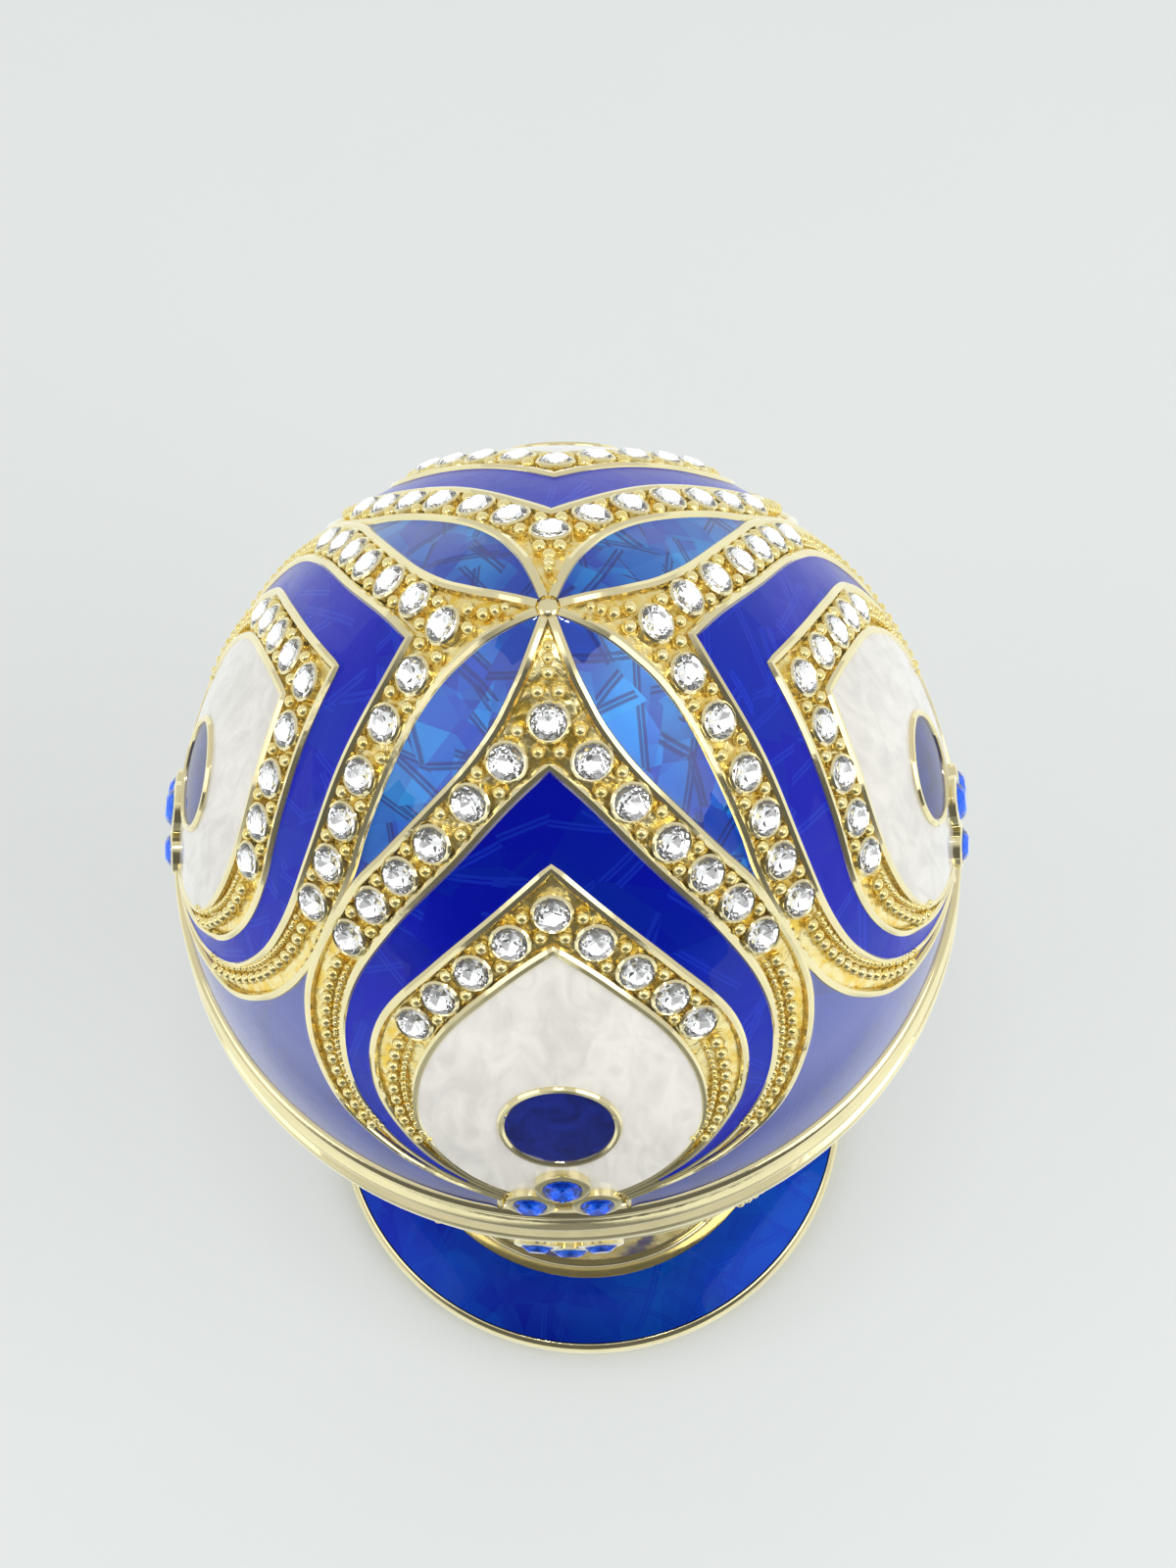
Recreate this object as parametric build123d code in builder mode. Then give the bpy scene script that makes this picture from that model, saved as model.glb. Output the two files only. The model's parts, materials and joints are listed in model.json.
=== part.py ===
from build123d import *
import os
from math import asin, cos, hypot, pi, radians, sin, sqrt

# Enamelled egg box on a round foot, in millimetres, +Z up.
# The origin is the middle of the pad that it stands on. The front is -Y, the hinge is at +Y.

# The egg
belt_height = 78.5  # from the table to the plane where the lid and the base part
belt_radius = 32.0
lid_height = 44.5
lid_tip_radius = 10.3  # radius of the round end of the lid
base_depth = 43.5
base_tip_radius = 19.2  # radius of the round end of the base
flank_turn = 25.0  # degrees that the lowest of the three arcs turns through
shoulder_turn = 59.0  # degrees where the middle arc ends
shell_wall = 2.2  # from the crest of the gold walls to the inside
parting_gap = 0.1

# The cells, which are cut into the outside of both shells
arch_count = 4
cell_wall = 0.6  # width of the gold walls between the cells
enamel_floor = 0.6  # depth of an enamel cell under the crest
enamel_sink = 0.1  # how far the enamel stays under the crest
enamel_gap = 0.03
tip_pull = 8.0  # times the gap that the enamel stays short of a lens's sharp tips
band_floor = 0.45  # depth of the bands that hold the clear stones
overrun = 1.0
pole_nub_radius = 1.1
pole_nub_rise = 0.35
pole_nub_taper = 30.0  # degrees

# The stones
clear_stone_size = 2.6
large_blue_size = 3.0
small_blue_size = 2.6
stone_gap = 0.02
table_share = 0.6  # of the stone's diameter
crown_height = 0.5
girdle_height = 0.15
back_depth = 0.25  # the stones are flat-backed: this much tapers in under the girdle
back_share = 0.8  # of the stone's diameter, across its flat back
collet_rim = 0.75  # width of the gold ring around a blue stone
collet_rise = 0.5
collet_recess = 0.45
dot_radius = 4.1
dot_wall = 0.5

# The rims at the belt
lid_rim_height = 4.4
lid_roll_height = 1.9  # the round moulding beside the parting plane
lid_rim_proud = 0.5  # how far the mouldings stand out of the egg's widest place
cove_depth = 0.3
wire_height = 1.0
base_rim_height = 2.7
base_rim_proud = 0.6
rim_inset = 0.4  # how far a moulding's edges stay inside its middle
lip_height = 1.6
lip_wall = 1.1
lip_gap = 0.3
lip_root = 1.5
lip_bite = 0.15  # how far the lip's root reaches into the shell's wall

# The hinge
hinge_width = 12.0
knuckle_radius = 1.5
knuckle_gap = 0.1
pin_radius = 0.6
pin_gap = 0.03
pin_head_radius = 0.95
pin_head_height = 0.35
pin_head_taper = 20.0  # degrees
leaf_thickness = 1.2
leaf_height = 3.0
leaf_gap = 0.05
leaf_seat_depth = 0.8  # from the egg's widest place in to the flat that a leaf is fixed to
knuckle_web = 1.4

# The catch magnets in the front of the rims
magnet_radius = 0.9
magnet_thickness = 1.4
magnet_gap = 0.04
magnet_setback = 1.05  # from the egg's widest place to the magnet's axis

# The stem and the foot
seat_gap = 0.05
cup_radius = 7.2
cup_edge = 0.8
waist_radius = 4.6
knop_radius = 7.2
knop_height = 4.0
stem_foot_radius = 9.0
foot_edge_radius = 27.8
foot_edge_height = 1.7
foot_metal = 1.8
collar_radius = 20.0
collar_wire = 1.1
foot_enamel_edge = 27.0
foot_enamel_depth = 0.7
foot_rise = 4.4  # top of the enamel at the collar, over the table
hub_radius = 9.6
hub_height = 9.0
pad_radius = 25.2
pad_thickness = 1.2
pad_proud = 0.3  # the felt stands this far out of the foot
screw_radius = 2.0
screw_clearance = 0.3
screw_head_radius = 3.6
screw_head_height = 2.0
thread_gap = 0.05
boss_radius = 4.5
boss_height = 5.0
screw_end_gap = 0.8

# Outlines of one arch: places along each gold wall, as shares of the way from the middle of
# the arch to its neighbour, and of the way from the belt to the end of the egg.
arch_wall_shares = (
    (0.47, 0.977), (0.52, 0.955), (0.573, 0.927), (0.677, 0.884), (0.79, 0.833),
    (0.92, 0.740), (0.972, 0.690), (0.992, 0.610), (0.992, 0.530), (0.96, 0.455),
    (0.88, 0.373), (0.73, 0.277), (0.52, 0.208), (0.40, 0.182), (0.30, 0.166),
)
band_wall_shares = (
    (0.0, 0.902), (0.287, 0.866), (0.555, 0.782), (0.752, 0.660), (0.818, 0.548),
    (0.798, 0.445), (0.702, 0.341), (0.549, 0.258), (0.40, 0.210), (0.30, 0.186),
)
inner_wall_shares = (
    (0.0, 0.797), (0.278, 0.731), (0.502, 0.640), (0.651, 0.531), (0.664, 0.444),
    (0.607, 0.359), (0.49, 0.281), (0.40, 0.240), (0.30, 0.205),
)
drop_wall_shares = (
    (0.0, 0.695), (0.231, 0.636), (0.427, 0.536), (0.491, 0.433), (0.471, 0.336),
    (0.40, 0.268), (0.31, 0.218), (0.22, 0.184), (0.0, 0.135),
)
lens_count = 7  # the first wall places, which bound the lens between two arches
spandrel_start = 9  # the first wall place beside the spandrel under the lens
lens_tip_share = 0.675
lid_lens_end_share = 0.9985
base_lens_end_share = 0.975
band_tip_margin_share = 0.0045
spandrel_tip_share = 0.500
spandrel_foot_share = 0.112
band_tail_shares = (0.315, 0.179)
chevron_tail_shares = (0.30, 0.1955)
inner_band_tail_shares = (0.335, 0.2225)
outer_stone_shares = (
    (0.0, 0.940), (0.379, 0.900), (0.568, 0.849), (0.703, 0.789), (0.794, 0.733),
    (0.860, 0.675), (0.893, 0.610),
)
inner_stone_shares = (
    (0.0, 0.743), (0.195, 0.701), (0.345, 0.649), (0.459, 0.595), (0.535, 0.538),
)
dot_height_share = 0.376
large_blue_height_share = 0.216
small_blue_shares = (0.102, 0.150)

# Worked out from the sizes above
half_quarter = 180.0 / arch_count  # degrees from the middle of an arch to its neighbour
lid_rim_radius = belt_radius + lid_rim_proud
base_rim_radius = belt_radius + base_rim_proud
cove_radius = belt_radius - cove_depth
leaf_seat = belt_radius - leaf_seat_depth
magnet_place = belt_radius - magnet_setback
plane_tilt = 45.0  # the cells are drawn on planes that look at the egg from half way up
hinge_axis_place = leaf_seat + leaf_gap + leaf_thickness + leaf_gap + knuckle_radius
knuckle_length = hinge_width / 3
cavity_radius = belt_radius - shell_wall
foot_underside = pad_proud


class EggHalf:
    """The lid's or the base's half of the egg: three tangent arcs turned about the axis."""

    def __init__(self, height, tip_radius, side, lens_end_share):
        self.height, self.side, self.lens_end_share = height, side, lens_end_share
        turns = (radians(flank_turn), radians(shoulder_turn))
        c1, c2, s1, s2 = cos(turns[0]), cos(turns[1]), sin(turns[0]), sin(turns[1])
        across = tip_radius * c2 - belt_radius
        along = height - tip_radius * (1 - s2)
        scale = (c1 - 1) * (s2 - s1) - (c2 - c1) * s1
        flank = (across * (s2 - s1) - (c2 - c1) * along) / scale
        shoulder = ((c1 - 1) * along - s1 * across) / scale
        middle = (belt_radius - flank, 0)
        upper = (middle[0] + (flank - shoulder) * c1, (flank - shoulder) * s1)
        self.arcs = (
            (middle, flank, 0.0, turns[0]),
            (upper, shoulder, turns[0], turns[1]),
            ((0, height - tip_radius), tip_radius, turns[1], pi / 2),
        )

    def level(self, height):
        """Radius of the crest at this height over the belt, and how far its normal is turned up."""
        for (across, along), radius, start, end in self.arcs:
            if height <= along + radius * sin(end):
                turn = asin(min((height - along) / radius, 1))
                return across + radius * cos(turn), turn
        return 0.0, pi / 2

    def arc_points(self, arc, offset):
        (across, along), radius, start, end = arc
        points = []
        for turn in (start, (start + end) / 2, end):
            x = across + (radius + offset) * cos(turn)
            y = along + (radius + offset) * sin(turn)
            points.append((max(x, 0.0), belt_height + self.side * y))
        return points

    def place(self, azimuth, share, offset=0.0):
        """Plane on the egg, looking outwards, at shares of an arch's half width and height."""
        radius, turn = self.level(share * self.height)
        angle = radians(azimuth * half_quarter)
        out = Vector(sin(angle) * cos(turn), -cos(angle) * cos(turn), self.side * sin(turn))
        foot = Vector(radius * sin(angle), -radius * cos(angle), self.side * share * self.height)
        origin = foot + out * offset + Vector(0, 0, belt_height)
        return Plane(origin=origin, x_dir=(cos(angle), sin(angle), 0), z_dir=out)

    def inset(self, shares, distance):
        """The same places moved along the surface: outwards of the arch where it is positive."""
        moved = []
        for index, (azimuth, share) in enumerate(shares):
            before = shares[max(index - 1, 0)]
            after = shares[min(index + 1, len(shares) - 1)]
            radius, turn = self.level(share * self.height)
            per_azimuth = radius * radians(half_quarter)
            per_share = self.height / cos(turn)
            along_x = (after[0] - before[0]) * per_azimuth
            along_y = (before[1] - after[1]) * per_share
            length = hypot(along_x, along_y)
            x, y = along_y / length, along_x / length
            if azimuth == 0.0:
                x, y = 0.0, 1 / y
            moved.append((azimuth + x * distance / per_azimuth, share + y * distance / per_share))
        return moved

    def drawn(self, azimuth, share, scale):
        """Where a place falls on the tilted plane, seen from the middle of the belt."""
        origin = self.place(azimuth, share).origin - Vector(0, 0, belt_height)
        tilt = radians(plane_tilt)
        out = -origin.Y * cos(tilt) + self.side * origin.Z * sin(tilt)
        up = origin.Y * sin(tilt) + self.side * origin.Z * cos(tilt)
        return (scale * origin.X / out, scale * up / out)

    def sight(self):
        tilt = radians(plane_tilt)
        out = (0, -cos(tilt), self.side * sin(tilt))
        return Plane(origin=(0, 0, belt_height), x_dir=(1, 0, 0), z_dir=out)


lid_half = EggHalf(lid_height, lid_tip_radius, 1, lid_lens_end_share)
base_half = EggHalf(base_depth, base_tip_radius, -1, base_lens_end_share)
sight_near = belt_radius / 4
sight_far = (belt_radius + lid_height + base_depth) / 2


def egg_layer(half, outer, inner):
    """The egg's half between two offsets from its crest, as one turned solid."""
    with BuildPart() as layer:
        with BuildSketch(Plane.XZ):
            with BuildLine():
                for arc in half.arcs:
                    ThreePointArc(*half.arc_points(arc, outer))
                    ThreePointArc(*half.arc_points(arc, inner))
                for turn in (0, -1):
                    ends = [half.arc_points(half.arcs[turn], offset)[turn] for offset in (outer, inner)]
                    Line(*ends)
            make_face()
        revolve(axis=Axis.Z)
    return layer.part


def sight_cone(half, splines):
    """Solid cone from the middle of the belt through an outline of splines on the egg."""
    with BuildPart() as cone:
        for reach in (sight_near, sight_far):
            with BuildSketch(half.sight().offset(reach)):
                with BuildLine():
                    for shares in splines:
                        drawn = [half.drawn(azimuth, share, reach) for azimuth, share in shares]
                        Spline(*[(x, half.side * y) for x, y in drawn])
                make_face()
        loft(ruled=True)
    return cone.part


def mirrored(shares):
    return [(-azimuth, share) for azimuth, share in shares]


def beside(shares):
    """Places counted from the middle of an arch, counted from the line between two arches."""
    return [(1 - azimuth, share) for azimuth, share in shares]


def both_sides(*splines):
    return [side for shares in splines for side in (shares, mirrored(shares))]


def lens_outline(half, margin):
    wall = beside(half.inset(arch_wall_shares[:lens_count], margin))
    kept = [place for place in wall if place[0] > 0 and place[1] < half.lens_end_share]
    pull = (margin - cell_wall / 2) * tip_pull / half.height
    return both_sides([(0.0, half.lens_end_share - pull)] + kept + [(0.0, lens_tip_share + pull)])


def spandrel_outline(half, margin):
    wall = beside(half.inset(arch_wall_shares[spandrel_start:], margin))
    foot = (wall[-1][0], spandrel_foot_share + margin / half.height)
    low = [foot, (wall[-1][0] / 2, foot[1]), (0.0, foot[1])]
    side = [(0.0, spandrel_tip_share)] + wall
    return both_sides(side, [wall[-1], foot], low)


def chevron_outline(half, margin):
    outer = half.inset(band_wall_shares, -margin)[:-1] + [chevron_tail_shares]
    inner = half.inset(inner_wall_shares, margin)[:-1] + [chevron_tail_shares]
    return both_sides(outer, inner)


def drop_outline(half, margin):
    return both_sides(half.inset(drop_wall_shares, -margin))


def outer_band_outline(half, margin):
    top = (0.0, half.lens_end_share - band_tip_margin_share)
    wall = half.inset(arch_wall_shares, -margin)
    kept = [place for place in wall if place[1] < half.lens_end_share - 2 * band_tip_margin_share]
    inner = half.inset(band_wall_shares, margin)[:-1]
    return both_sides([top] + kept[:-1] + [band_tail_shares], inner + [band_tail_shares])


def inner_band_outline(half, margin):
    outer = half.inset(inner_wall_shares, -margin)[:-1] + [inner_band_tail_shares]
    inner = half.inset(drop_wall_shares, margin)[:-3] + [inner_band_tail_shares]
    return both_sides(outer, inner)


def panel(half, outline, top, bottom, between_arches=False):
    """One cell's solid between two offsets from the crest."""
    with BuildPart() as cell:
        add(egg_layer(half, top, bottom))
        add(sight_cone(half, outline), mode=Mode.INTERSECT)
    turn = half_quarter if between_arches else 0.0
    return cell.part.rotate(Axis.Z, turn)


def rod(half, azimuth, share, radius, top, bottom):
    """Round rod that stands on the egg's surface."""
    with BuildPart() as piece:
        with BuildSketch(half.place(azimuth, share, bottom)):
            Circle(radius)
        extrude(amount=top - bottom)
    return piece.part


def stone_solid(size):
    """A flat-backed faceted stone as a turned solid that stands on its back."""
    girdle = back_depth + girdle_height
    with BuildPart() as piece:
        with BuildSketch(Plane.XZ):
            with BuildLine():
                Polyline(
                    (0, 0), (size * back_share / 2, 0), (size / 2, back_depth), (size / 2, girdle),
                    (size * table_share / 2, girdle + crown_height), (0, girdle + crown_height),
                    close=True,
                )
            make_face()
        revolve(axis=Axis.Z)
    return piece.part


def all_round(pieces):
    """The same pieces on every arch."""
    with BuildPart() as ring:
        with PolarLocations(0, arch_count):
            for piece in pieces:
                add(piece)
    return ring.part


def clear_stone_places(half):
    right = outer_stone_shares + inner_stone_shares
    left = [place for place in mirrored(right) if place[0] < 0]
    seat = stone_gap - band_floor
    return [(half.place(azimuth, share, seat), clear_stone_size) for azimuth, share in [*right, *left]]


def trefoil(half):
    """Shares and size of each blue stone on one arch."""
    azimuth, share = small_blue_shares
    return (
        (0.0, large_blue_height_share, large_blue_size),
        (-azimuth, share, small_blue_size),
        (azimuth, share, small_blue_size),
    )


def blue_stone_places(half):
    lift = collet_rise - collet_recess + stone_gap
    return [(half.place(azimuth, share, lift), size) for azimuth, share, size in trefoil(half)]


def stones(places):
    """Stones on one arch, from their planes and sizes."""
    with BuildPart() as group:
        for place, size in places:
            with Locations(place):
                add(stone_solid(size))
    return group.part


def collets(half, gap=0.0):
    return [
        rod(half, azimuth, share, size / 2 + collet_rim + gap, collet_rise, -shell_wall / 2)
        for azimuth, share, size in trefoil(half)
    ]


def collet_recesses(half):
    top, bottom = collet_rise + overrun, collet_rise - collet_recess
    return [
        rod(half, azimuth, share, size / 2 + stone_gap, top, bottom)
        for azimuth, share, size in trefoil(half)
    ]


def enamel(half, margin, top, bottom):
    """The cells' solids on one arch by name: the enamel itself, or its pocket."""
    gap = margin - cell_wall / 2
    dot = rod(half, 0.0, dot_height_share, dot_radius - gap, shell_wall, -shell_wall)
    ring = rod(half, 0.0, dot_height_share, dot_radius + dot_wall + gap, shell_wall, -shell_wall)
    with BuildPart() as drop:
        add(panel(half, drop_outline(half, margin), top, bottom))
        add(ring, mode=Mode.SUBTRACT)
        add(collets(half, gap), mode=Mode.SUBTRACT)
    with BuildPart() as spot:
        add(egg_layer(half, top, bottom))
        add(dot, mode=Mode.INTERSECT)
    return {
        "petal": panel(half, lens_outline(half, margin), top, bottom, True),
        "chevron": panel(half, chevron_outline(half, margin), top, bottom),
        "spandrel": panel(half, spandrel_outline(half, margin), top, bottom, True),
        "pearl": drop.part.solids().sort_by(SortBy.VOLUME)[-1],
        "dot": spot.part,
    }


def rim_profile(half):
    """Half section of the rim at the belt, outside the cavity, from the parting plane outwards."""
    side = half.side
    start = belt_height + side * parting_gap / 2
    if side > 0:
        return (
            (lid_rim_radius - rim_inset, start),
            (lid_rim_radius, belt_height + lid_roll_height / 2),
            (lid_rim_radius - rim_inset, belt_height + lid_roll_height),
            (cove_radius, belt_height + (lid_roll_height + lid_rim_height - wire_height) / 2),
            (lid_rim_radius - rim_inset, belt_height + lid_rim_height - wire_height),
            (lid_rim_radius, belt_height + lid_rim_height - wire_height / 2),
            (cove_radius, belt_height + lid_rim_height),
        )
    return (
        (base_rim_radius - rim_inset, start),
        (base_rim_radius, belt_height - base_rim_height / 2),
        (base_rim_radius - 2 * rim_inset, belt_height - base_rim_height),
    )


def rim_ring(half):
    points = rim_profile(half)
    inner = cavity_radius + shell_wall / 2
    with BuildPart() as ring:
        with BuildSketch(Plane.XZ):
            with BuildLine():
                for index in range(0, len(points) - 1, 2):
                    ThreePointArc(*points[index:index + 3])
                Polyline(points[-1], (inner, points[-1][1]), (inner, points[0][1]), points[0])
            make_face()
        revolve(axis=Axis.Z)
    return ring.part


def hinge_seat(half):
    """The flat at the back of a rim that a hinge leaf is fixed to."""
    reach = leaf_height + leaf_gap + parting_gap
    with BuildPart() as seat:
        middle = belt_height + half.side * reach / 2
        with Locations((0, leaf_seat + shell_wall, middle)):
            Box(hinge_width + 2 * leaf_gap, 2 * shell_wall, reach)
    return seat.part


def magnet_solid(half, gap=0.0):
    low = parting_gap / 2 + magnet_gap
    with BuildPart() as magnet:
        with BuildSketch(Plane(origin=(0, -magnet_place, belt_height + half.side * (low - 2 * gap)),
                               z_dir=(0, 0, half.side))):
            Circle(magnet_radius + gap)
        extrude(amount=magnet_thickness + 3 * gap)
    return magnet.part


def bare_shell(half):
    """The hollow half with its rim and collets, before cells and seats are cut."""
    with BuildPart() as shell:
        add(egg_layer(half, 0.0, -shell_wall))
        with BuildSketch(Plane.XY.offset(belt_height)):
            Circle(base_rim_radius + overrun)
        extrude(amount=half.side * parting_gap / 2, mode=Mode.SUBTRACT)
        add(rim_ring(half))
        add(hinge_seat(half), mode=Mode.SUBTRACT)
        add(magnet_solid(half, magnet_gap), mode=Mode.SUBTRACT)
    return shell.part


def cut_shell(half):
    """The shell with the cells and the bands cut, and the collets of the blue stones."""
    margin = cell_wall / 2
    pockets = list(enamel(half, margin, overrun, -enamel_floor).values())
    for outline in (outer_band_outline(half, margin), inner_band_outline(half, margin)):
        pockets.append(panel(half, outline, overrun, -band_floor))
    with BuildPart() as shell:
        add(bare_shell(half))
        with PolarLocations(0, arch_count):
            add(pockets, mode=Mode.SUBTRACT)
            add(collets(half))
            add(collet_recesses(half), mode=Mode.SUBTRACT)
    return shell.part


def write(piece, name):
    piece.label = name
    export_step(piece, f"parts/{name}.step")
    print(name, "solids", len(piece.solids()), "volume", round(piece.volume, 2))


def write_half(half, name):
    """Enamel and stones of one half, each colour as one group of separate pieces."""
    margin = cell_wall / 2 + enamel_gap
    panels = enamel(half, margin, -enamel_sink, -enamel_floor + enamel_gap)
    for colour, piece in panels.items():
        write(all_round([piece]), f"{name}_{colour}_enamel")
    write(all_round([stones(clear_stone_places(half))]), f"{name}_clear_stones")
    write(all_round([stones(blue_stone_places(half))]), f"{name}_blue_stones")
    write(magnet_solid(half), f"{name}_magnet")


def lid_shell():
    with BuildPart() as shell:
        add(cut_shell(lid_half))
        with BuildSketch(Plane.XY.offset(belt_height + lid_height - pole_nub_rise)):
            Circle(pole_nub_radius)
        extrude(amount=2 * pole_nub_rise, taper=pole_nub_taper)
    return shell.part


def base_shell():
    """The base with the lip that guides the lid and the boss that the screw turns into."""
    inside = belt_height - base_depth + shell_wall
    lip_radius = cavity_radius - lip_gap
    with BuildPart() as shell:
        add(cut_shell(base_half))
        with BuildSketch(Plane.XY.offset(belt_height - lip_root)):
            Circle(lip_radius)
            Circle(lip_radius - lip_wall, mode=Mode.SUBTRACT)
        extrude(amount=lip_root + lip_height)
        with BuildSketch(Plane.XY.offset(belt_height - lip_root)):
            Circle(cavity_radius + lip_bite)
            Circle(lip_radius - lip_wall, mode=Mode.SUBTRACT)
        extrude(amount=lip_root - parting_gap / 2)
        with BuildSketch(Plane.XY.offset(inside - shell_wall / 2)):
            Circle(boss_radius)
        extrude(amount=boss_height + shell_wall / 2)
        with BuildSketch(Plane.XY.offset(belt_height - base_depth - overrun)):
            Circle(screw_radius + thread_gap)
        extrude(amount=overrun + shell_wall + boss_height - screw_end_gap, mode=Mode.SUBTRACT)
    return shell.part


def hinge_leaf(half, knuckles):
    """A leaf fixed to the back of one rim, with its knuckles on the pin's axis."""
    side = half.side
    near = leaf_seat + leaf_gap
    low = belt_height + side * parting_gap
    with BuildPart() as leaf:
        with BuildSketch(Plane(origin=(0, near, low), x_dir=(1, 0, 0), z_dir=(0, 1, 0))):
            with Locations((0, -side * leaf_height / 2)):
                Rectangle(hinge_width, leaf_height)
        extrude(amount=leaf_thickness)
        for place in knuckles:
            start = (place - 0.5) * knuckle_length + knuckle_gap / 2
            with BuildSketch(Plane(origin=(start, 0, belt_height), x_dir=(0, 1, 0), z_dir=(1, 0, 0))):
                with Locations((hinge_axis_place, 0)):
                    Circle(knuckle_radius)
                reach = hinge_axis_place - near - leaf_thickness / 2
                with Locations((hinge_axis_place - reach / 2, side * (parting_gap + knuckle_web / 2))):
                    Rectangle(reach, knuckle_web)
            extrude(amount=knuckle_length - knuckle_gap)
        with BuildSketch(Plane(origin=(-hinge_width, 0, belt_height), x_dir=(0, 1, 0), z_dir=(1, 0, 0))):
            with Locations((hinge_axis_place, 0)):
                Circle(pin_radius + pin_gap)
        extrude(amount=2 * hinge_width, mode=Mode.SUBTRACT)
    return leaf.part


def hinge_pin():
    half_length = hinge_width / 2 + knuckle_gap
    with BuildPart() as pin:
        with BuildSketch(Plane(origin=(-half_length, hinge_axis_place, belt_height), z_dir=(1, 0, 0))):
            Circle(pin_radius)
        extrude(amount=2 * half_length)
        for side in (-1, 1):
            with BuildSketch(Plane(origin=(side * half_length, hinge_axis_place, belt_height),
                                   z_dir=(side, 0, 0))):
                Circle(pin_head_radius)
            extrude(amount=pin_head_height, taper=pin_head_taper)
    return pin.part


def stem():
    """Turned stem: a cup that fits the egg's end, a waist with a knop, and a flare on the foot."""
    tip = base_tip_radius + seat_gap
    centre = belt_height - base_depth + base_tip_radius
    bore = screw_radius + screw_clearance
    cup_low = centre - sqrt(tip**2 - cup_radius**2)
    bore_top = centre - sqrt(tip**2 - bore**2)
    middle = centre - tip * cos((asin(cup_radius / tip) + asin(bore / tip)) / 2)
    middle_radius = tip * sin((asin(cup_radius / tip) + asin(bore / tip)) / 2)
    low = hub_height
    knop_middle = (low + cup_low) / 2
    with BuildPart() as piece:
        with BuildSketch(Plane.XZ):
            with BuildLine():
                ThreePointArc((bore, bore_top), (middle_radius, middle), (cup_radius, cup_low))
                Line((cup_radius, cup_low), (cup_radius + cup_edge, cup_low - cup_edge / 2))
                Line((cup_radius + cup_edge, cup_low - cup_edge / 2),
                     (cup_radius, cup_low - cup_edge))
                Spline((cup_radius, cup_low - cup_edge), (waist_radius, knop_middle + knop_height),
                       (waist_radius, knop_middle + knop_height / 2))
                ThreePointArc((waist_radius, knop_middle + knop_height / 2), (knop_radius, knop_middle),
                              (waist_radius, knop_middle - knop_height / 2))
                Spline((waist_radius, knop_middle - knop_height / 2),
                       (waist_radius, knop_middle - knop_height), (stem_foot_radius, low))
                Polyline((stem_foot_radius, low), (bore, low), (bore, bore_top))
            make_face()
        revolve(axis=Axis.Z)
    return piece.part


def foot_floor(radius):
    """Height of the floor under the foot's enamel."""
    low = foot_underside + foot_edge_height
    rise = (foot_rise - foot_enamel_depth - low) / (foot_enamel_edge - collar_radius)
    return low + (foot_enamel_edge - radius) * rise


def foot():
    """Dished foot: gold edge, sloping cell for the enamel, wire collar and a hub for the stem."""
    bore = screw_radius + screw_clearance
    head_bore = screw_head_radius + screw_clearance
    head_top = screw_head_height + pad_thickness + foot_metal
    inside = foot_edge_radius - foot_metal
    edge_floor = foot_floor(foot_enamel_edge)
    with BuildPart() as piece:
        with BuildSketch(Plane.XZ):
            with BuildLine():
                Polyline(
                    (inside, foot_underside), (foot_edge_radius, foot_underside),
                    (foot_edge_radius, edge_floor), (foot_enamel_edge, edge_floor + foot_enamel_depth),
                    (foot_enamel_edge, edge_floor), (collar_radius, foot_floor(collar_radius)),
                    (collar_radius, foot_rise), (collar_radius - collar_wire, foot_rise + collar_wire),
                    (hub_radius, hub_height - foot_metal), (hub_radius, hub_height),
                    (bore, hub_height), (bore, head_top), (head_bore, head_top),
                    (head_bore, pad_thickness + thread_gap), (inside, pad_thickness + thread_gap),
                    close=True,
                )
            make_face()
        revolve(axis=Axis.Z)
        with BuildSketch(Plane.XZ):
            with Locations((collar_radius - collar_wire / 2, foot_rise + collar_wire / 2)):
                Circle(collar_wire)
        revolve(axis=Axis.Z)
    return piece.part


def foot_enamel():
    """Sloping ring of enamel with a slightly domed face."""
    outer, inner = foot_enamel_edge - enamel_gap, collar_radius + collar_wire
    middle = (outer + inner) / 2
    depth = foot_enamel_depth - enamel_sink
    outer_floor, inner_floor = foot_floor(outer) + enamel_gap, foot_floor(inner) + enamel_gap
    crown = (outer_floor + inner_floor) / 2 + depth + enamel_floor / 2
    with BuildPart() as piece:
        with BuildSketch(Plane.XZ):
            with BuildLine():
                ThreePointArc((outer, outer_floor + depth), (middle, crown), (inner, inner_floor + depth))
                Polyline((inner, inner_floor + depth), (inner, inner_floor),
                         (outer, outer_floor), (outer, outer_floor + depth))
            make_face()
        revolve(axis=Axis.Z)
    return piece.part


def felt_pad():
    with BuildPart() as pad:
        with BuildSketch(Plane.XY):
            Circle(pad_radius)
        extrude(amount=pad_thickness)
    return pad.part


def foot_screw():
    """Pan-head screw from inside the foot up into the boss in the base."""
    head_top = screw_head_height + pad_thickness + foot_metal - thread_gap
    end = belt_height - base_depth + shell_wall + boss_height - 2 * screw_end_gap
    with BuildPart() as screw:
        with BuildSketch(Plane.XY.offset(head_top - screw_head_height)):
            Circle(screw_head_radius)
        extrude(amount=screw_head_height)
        with BuildSketch(Plane.XY.offset(head_top)):
            Circle(screw_radius)
        extrude(amount=end - head_top)
    return screw.part


os.makedirs("parts", exist_ok=True)
write_half(lid_half, "lid")
write_half(base_half, "base")
write(lid_shell(), "lid_shell")
write(base_shell(), "base_shell")
write(hinge_leaf(lid_half, (-1, 1)), "lid_hinge_leaf")
write(hinge_leaf(base_half, (0,)), "base_hinge_leaf")
write(hinge_pin(), "hinge_pin")
write(stem(), "stem")
write(foot(), "foot")
write(foot_enamel(), "foot_enamel")
write(felt_pad(), "felt_pad")
write(foot_screw(), "foot_screw")
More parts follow.
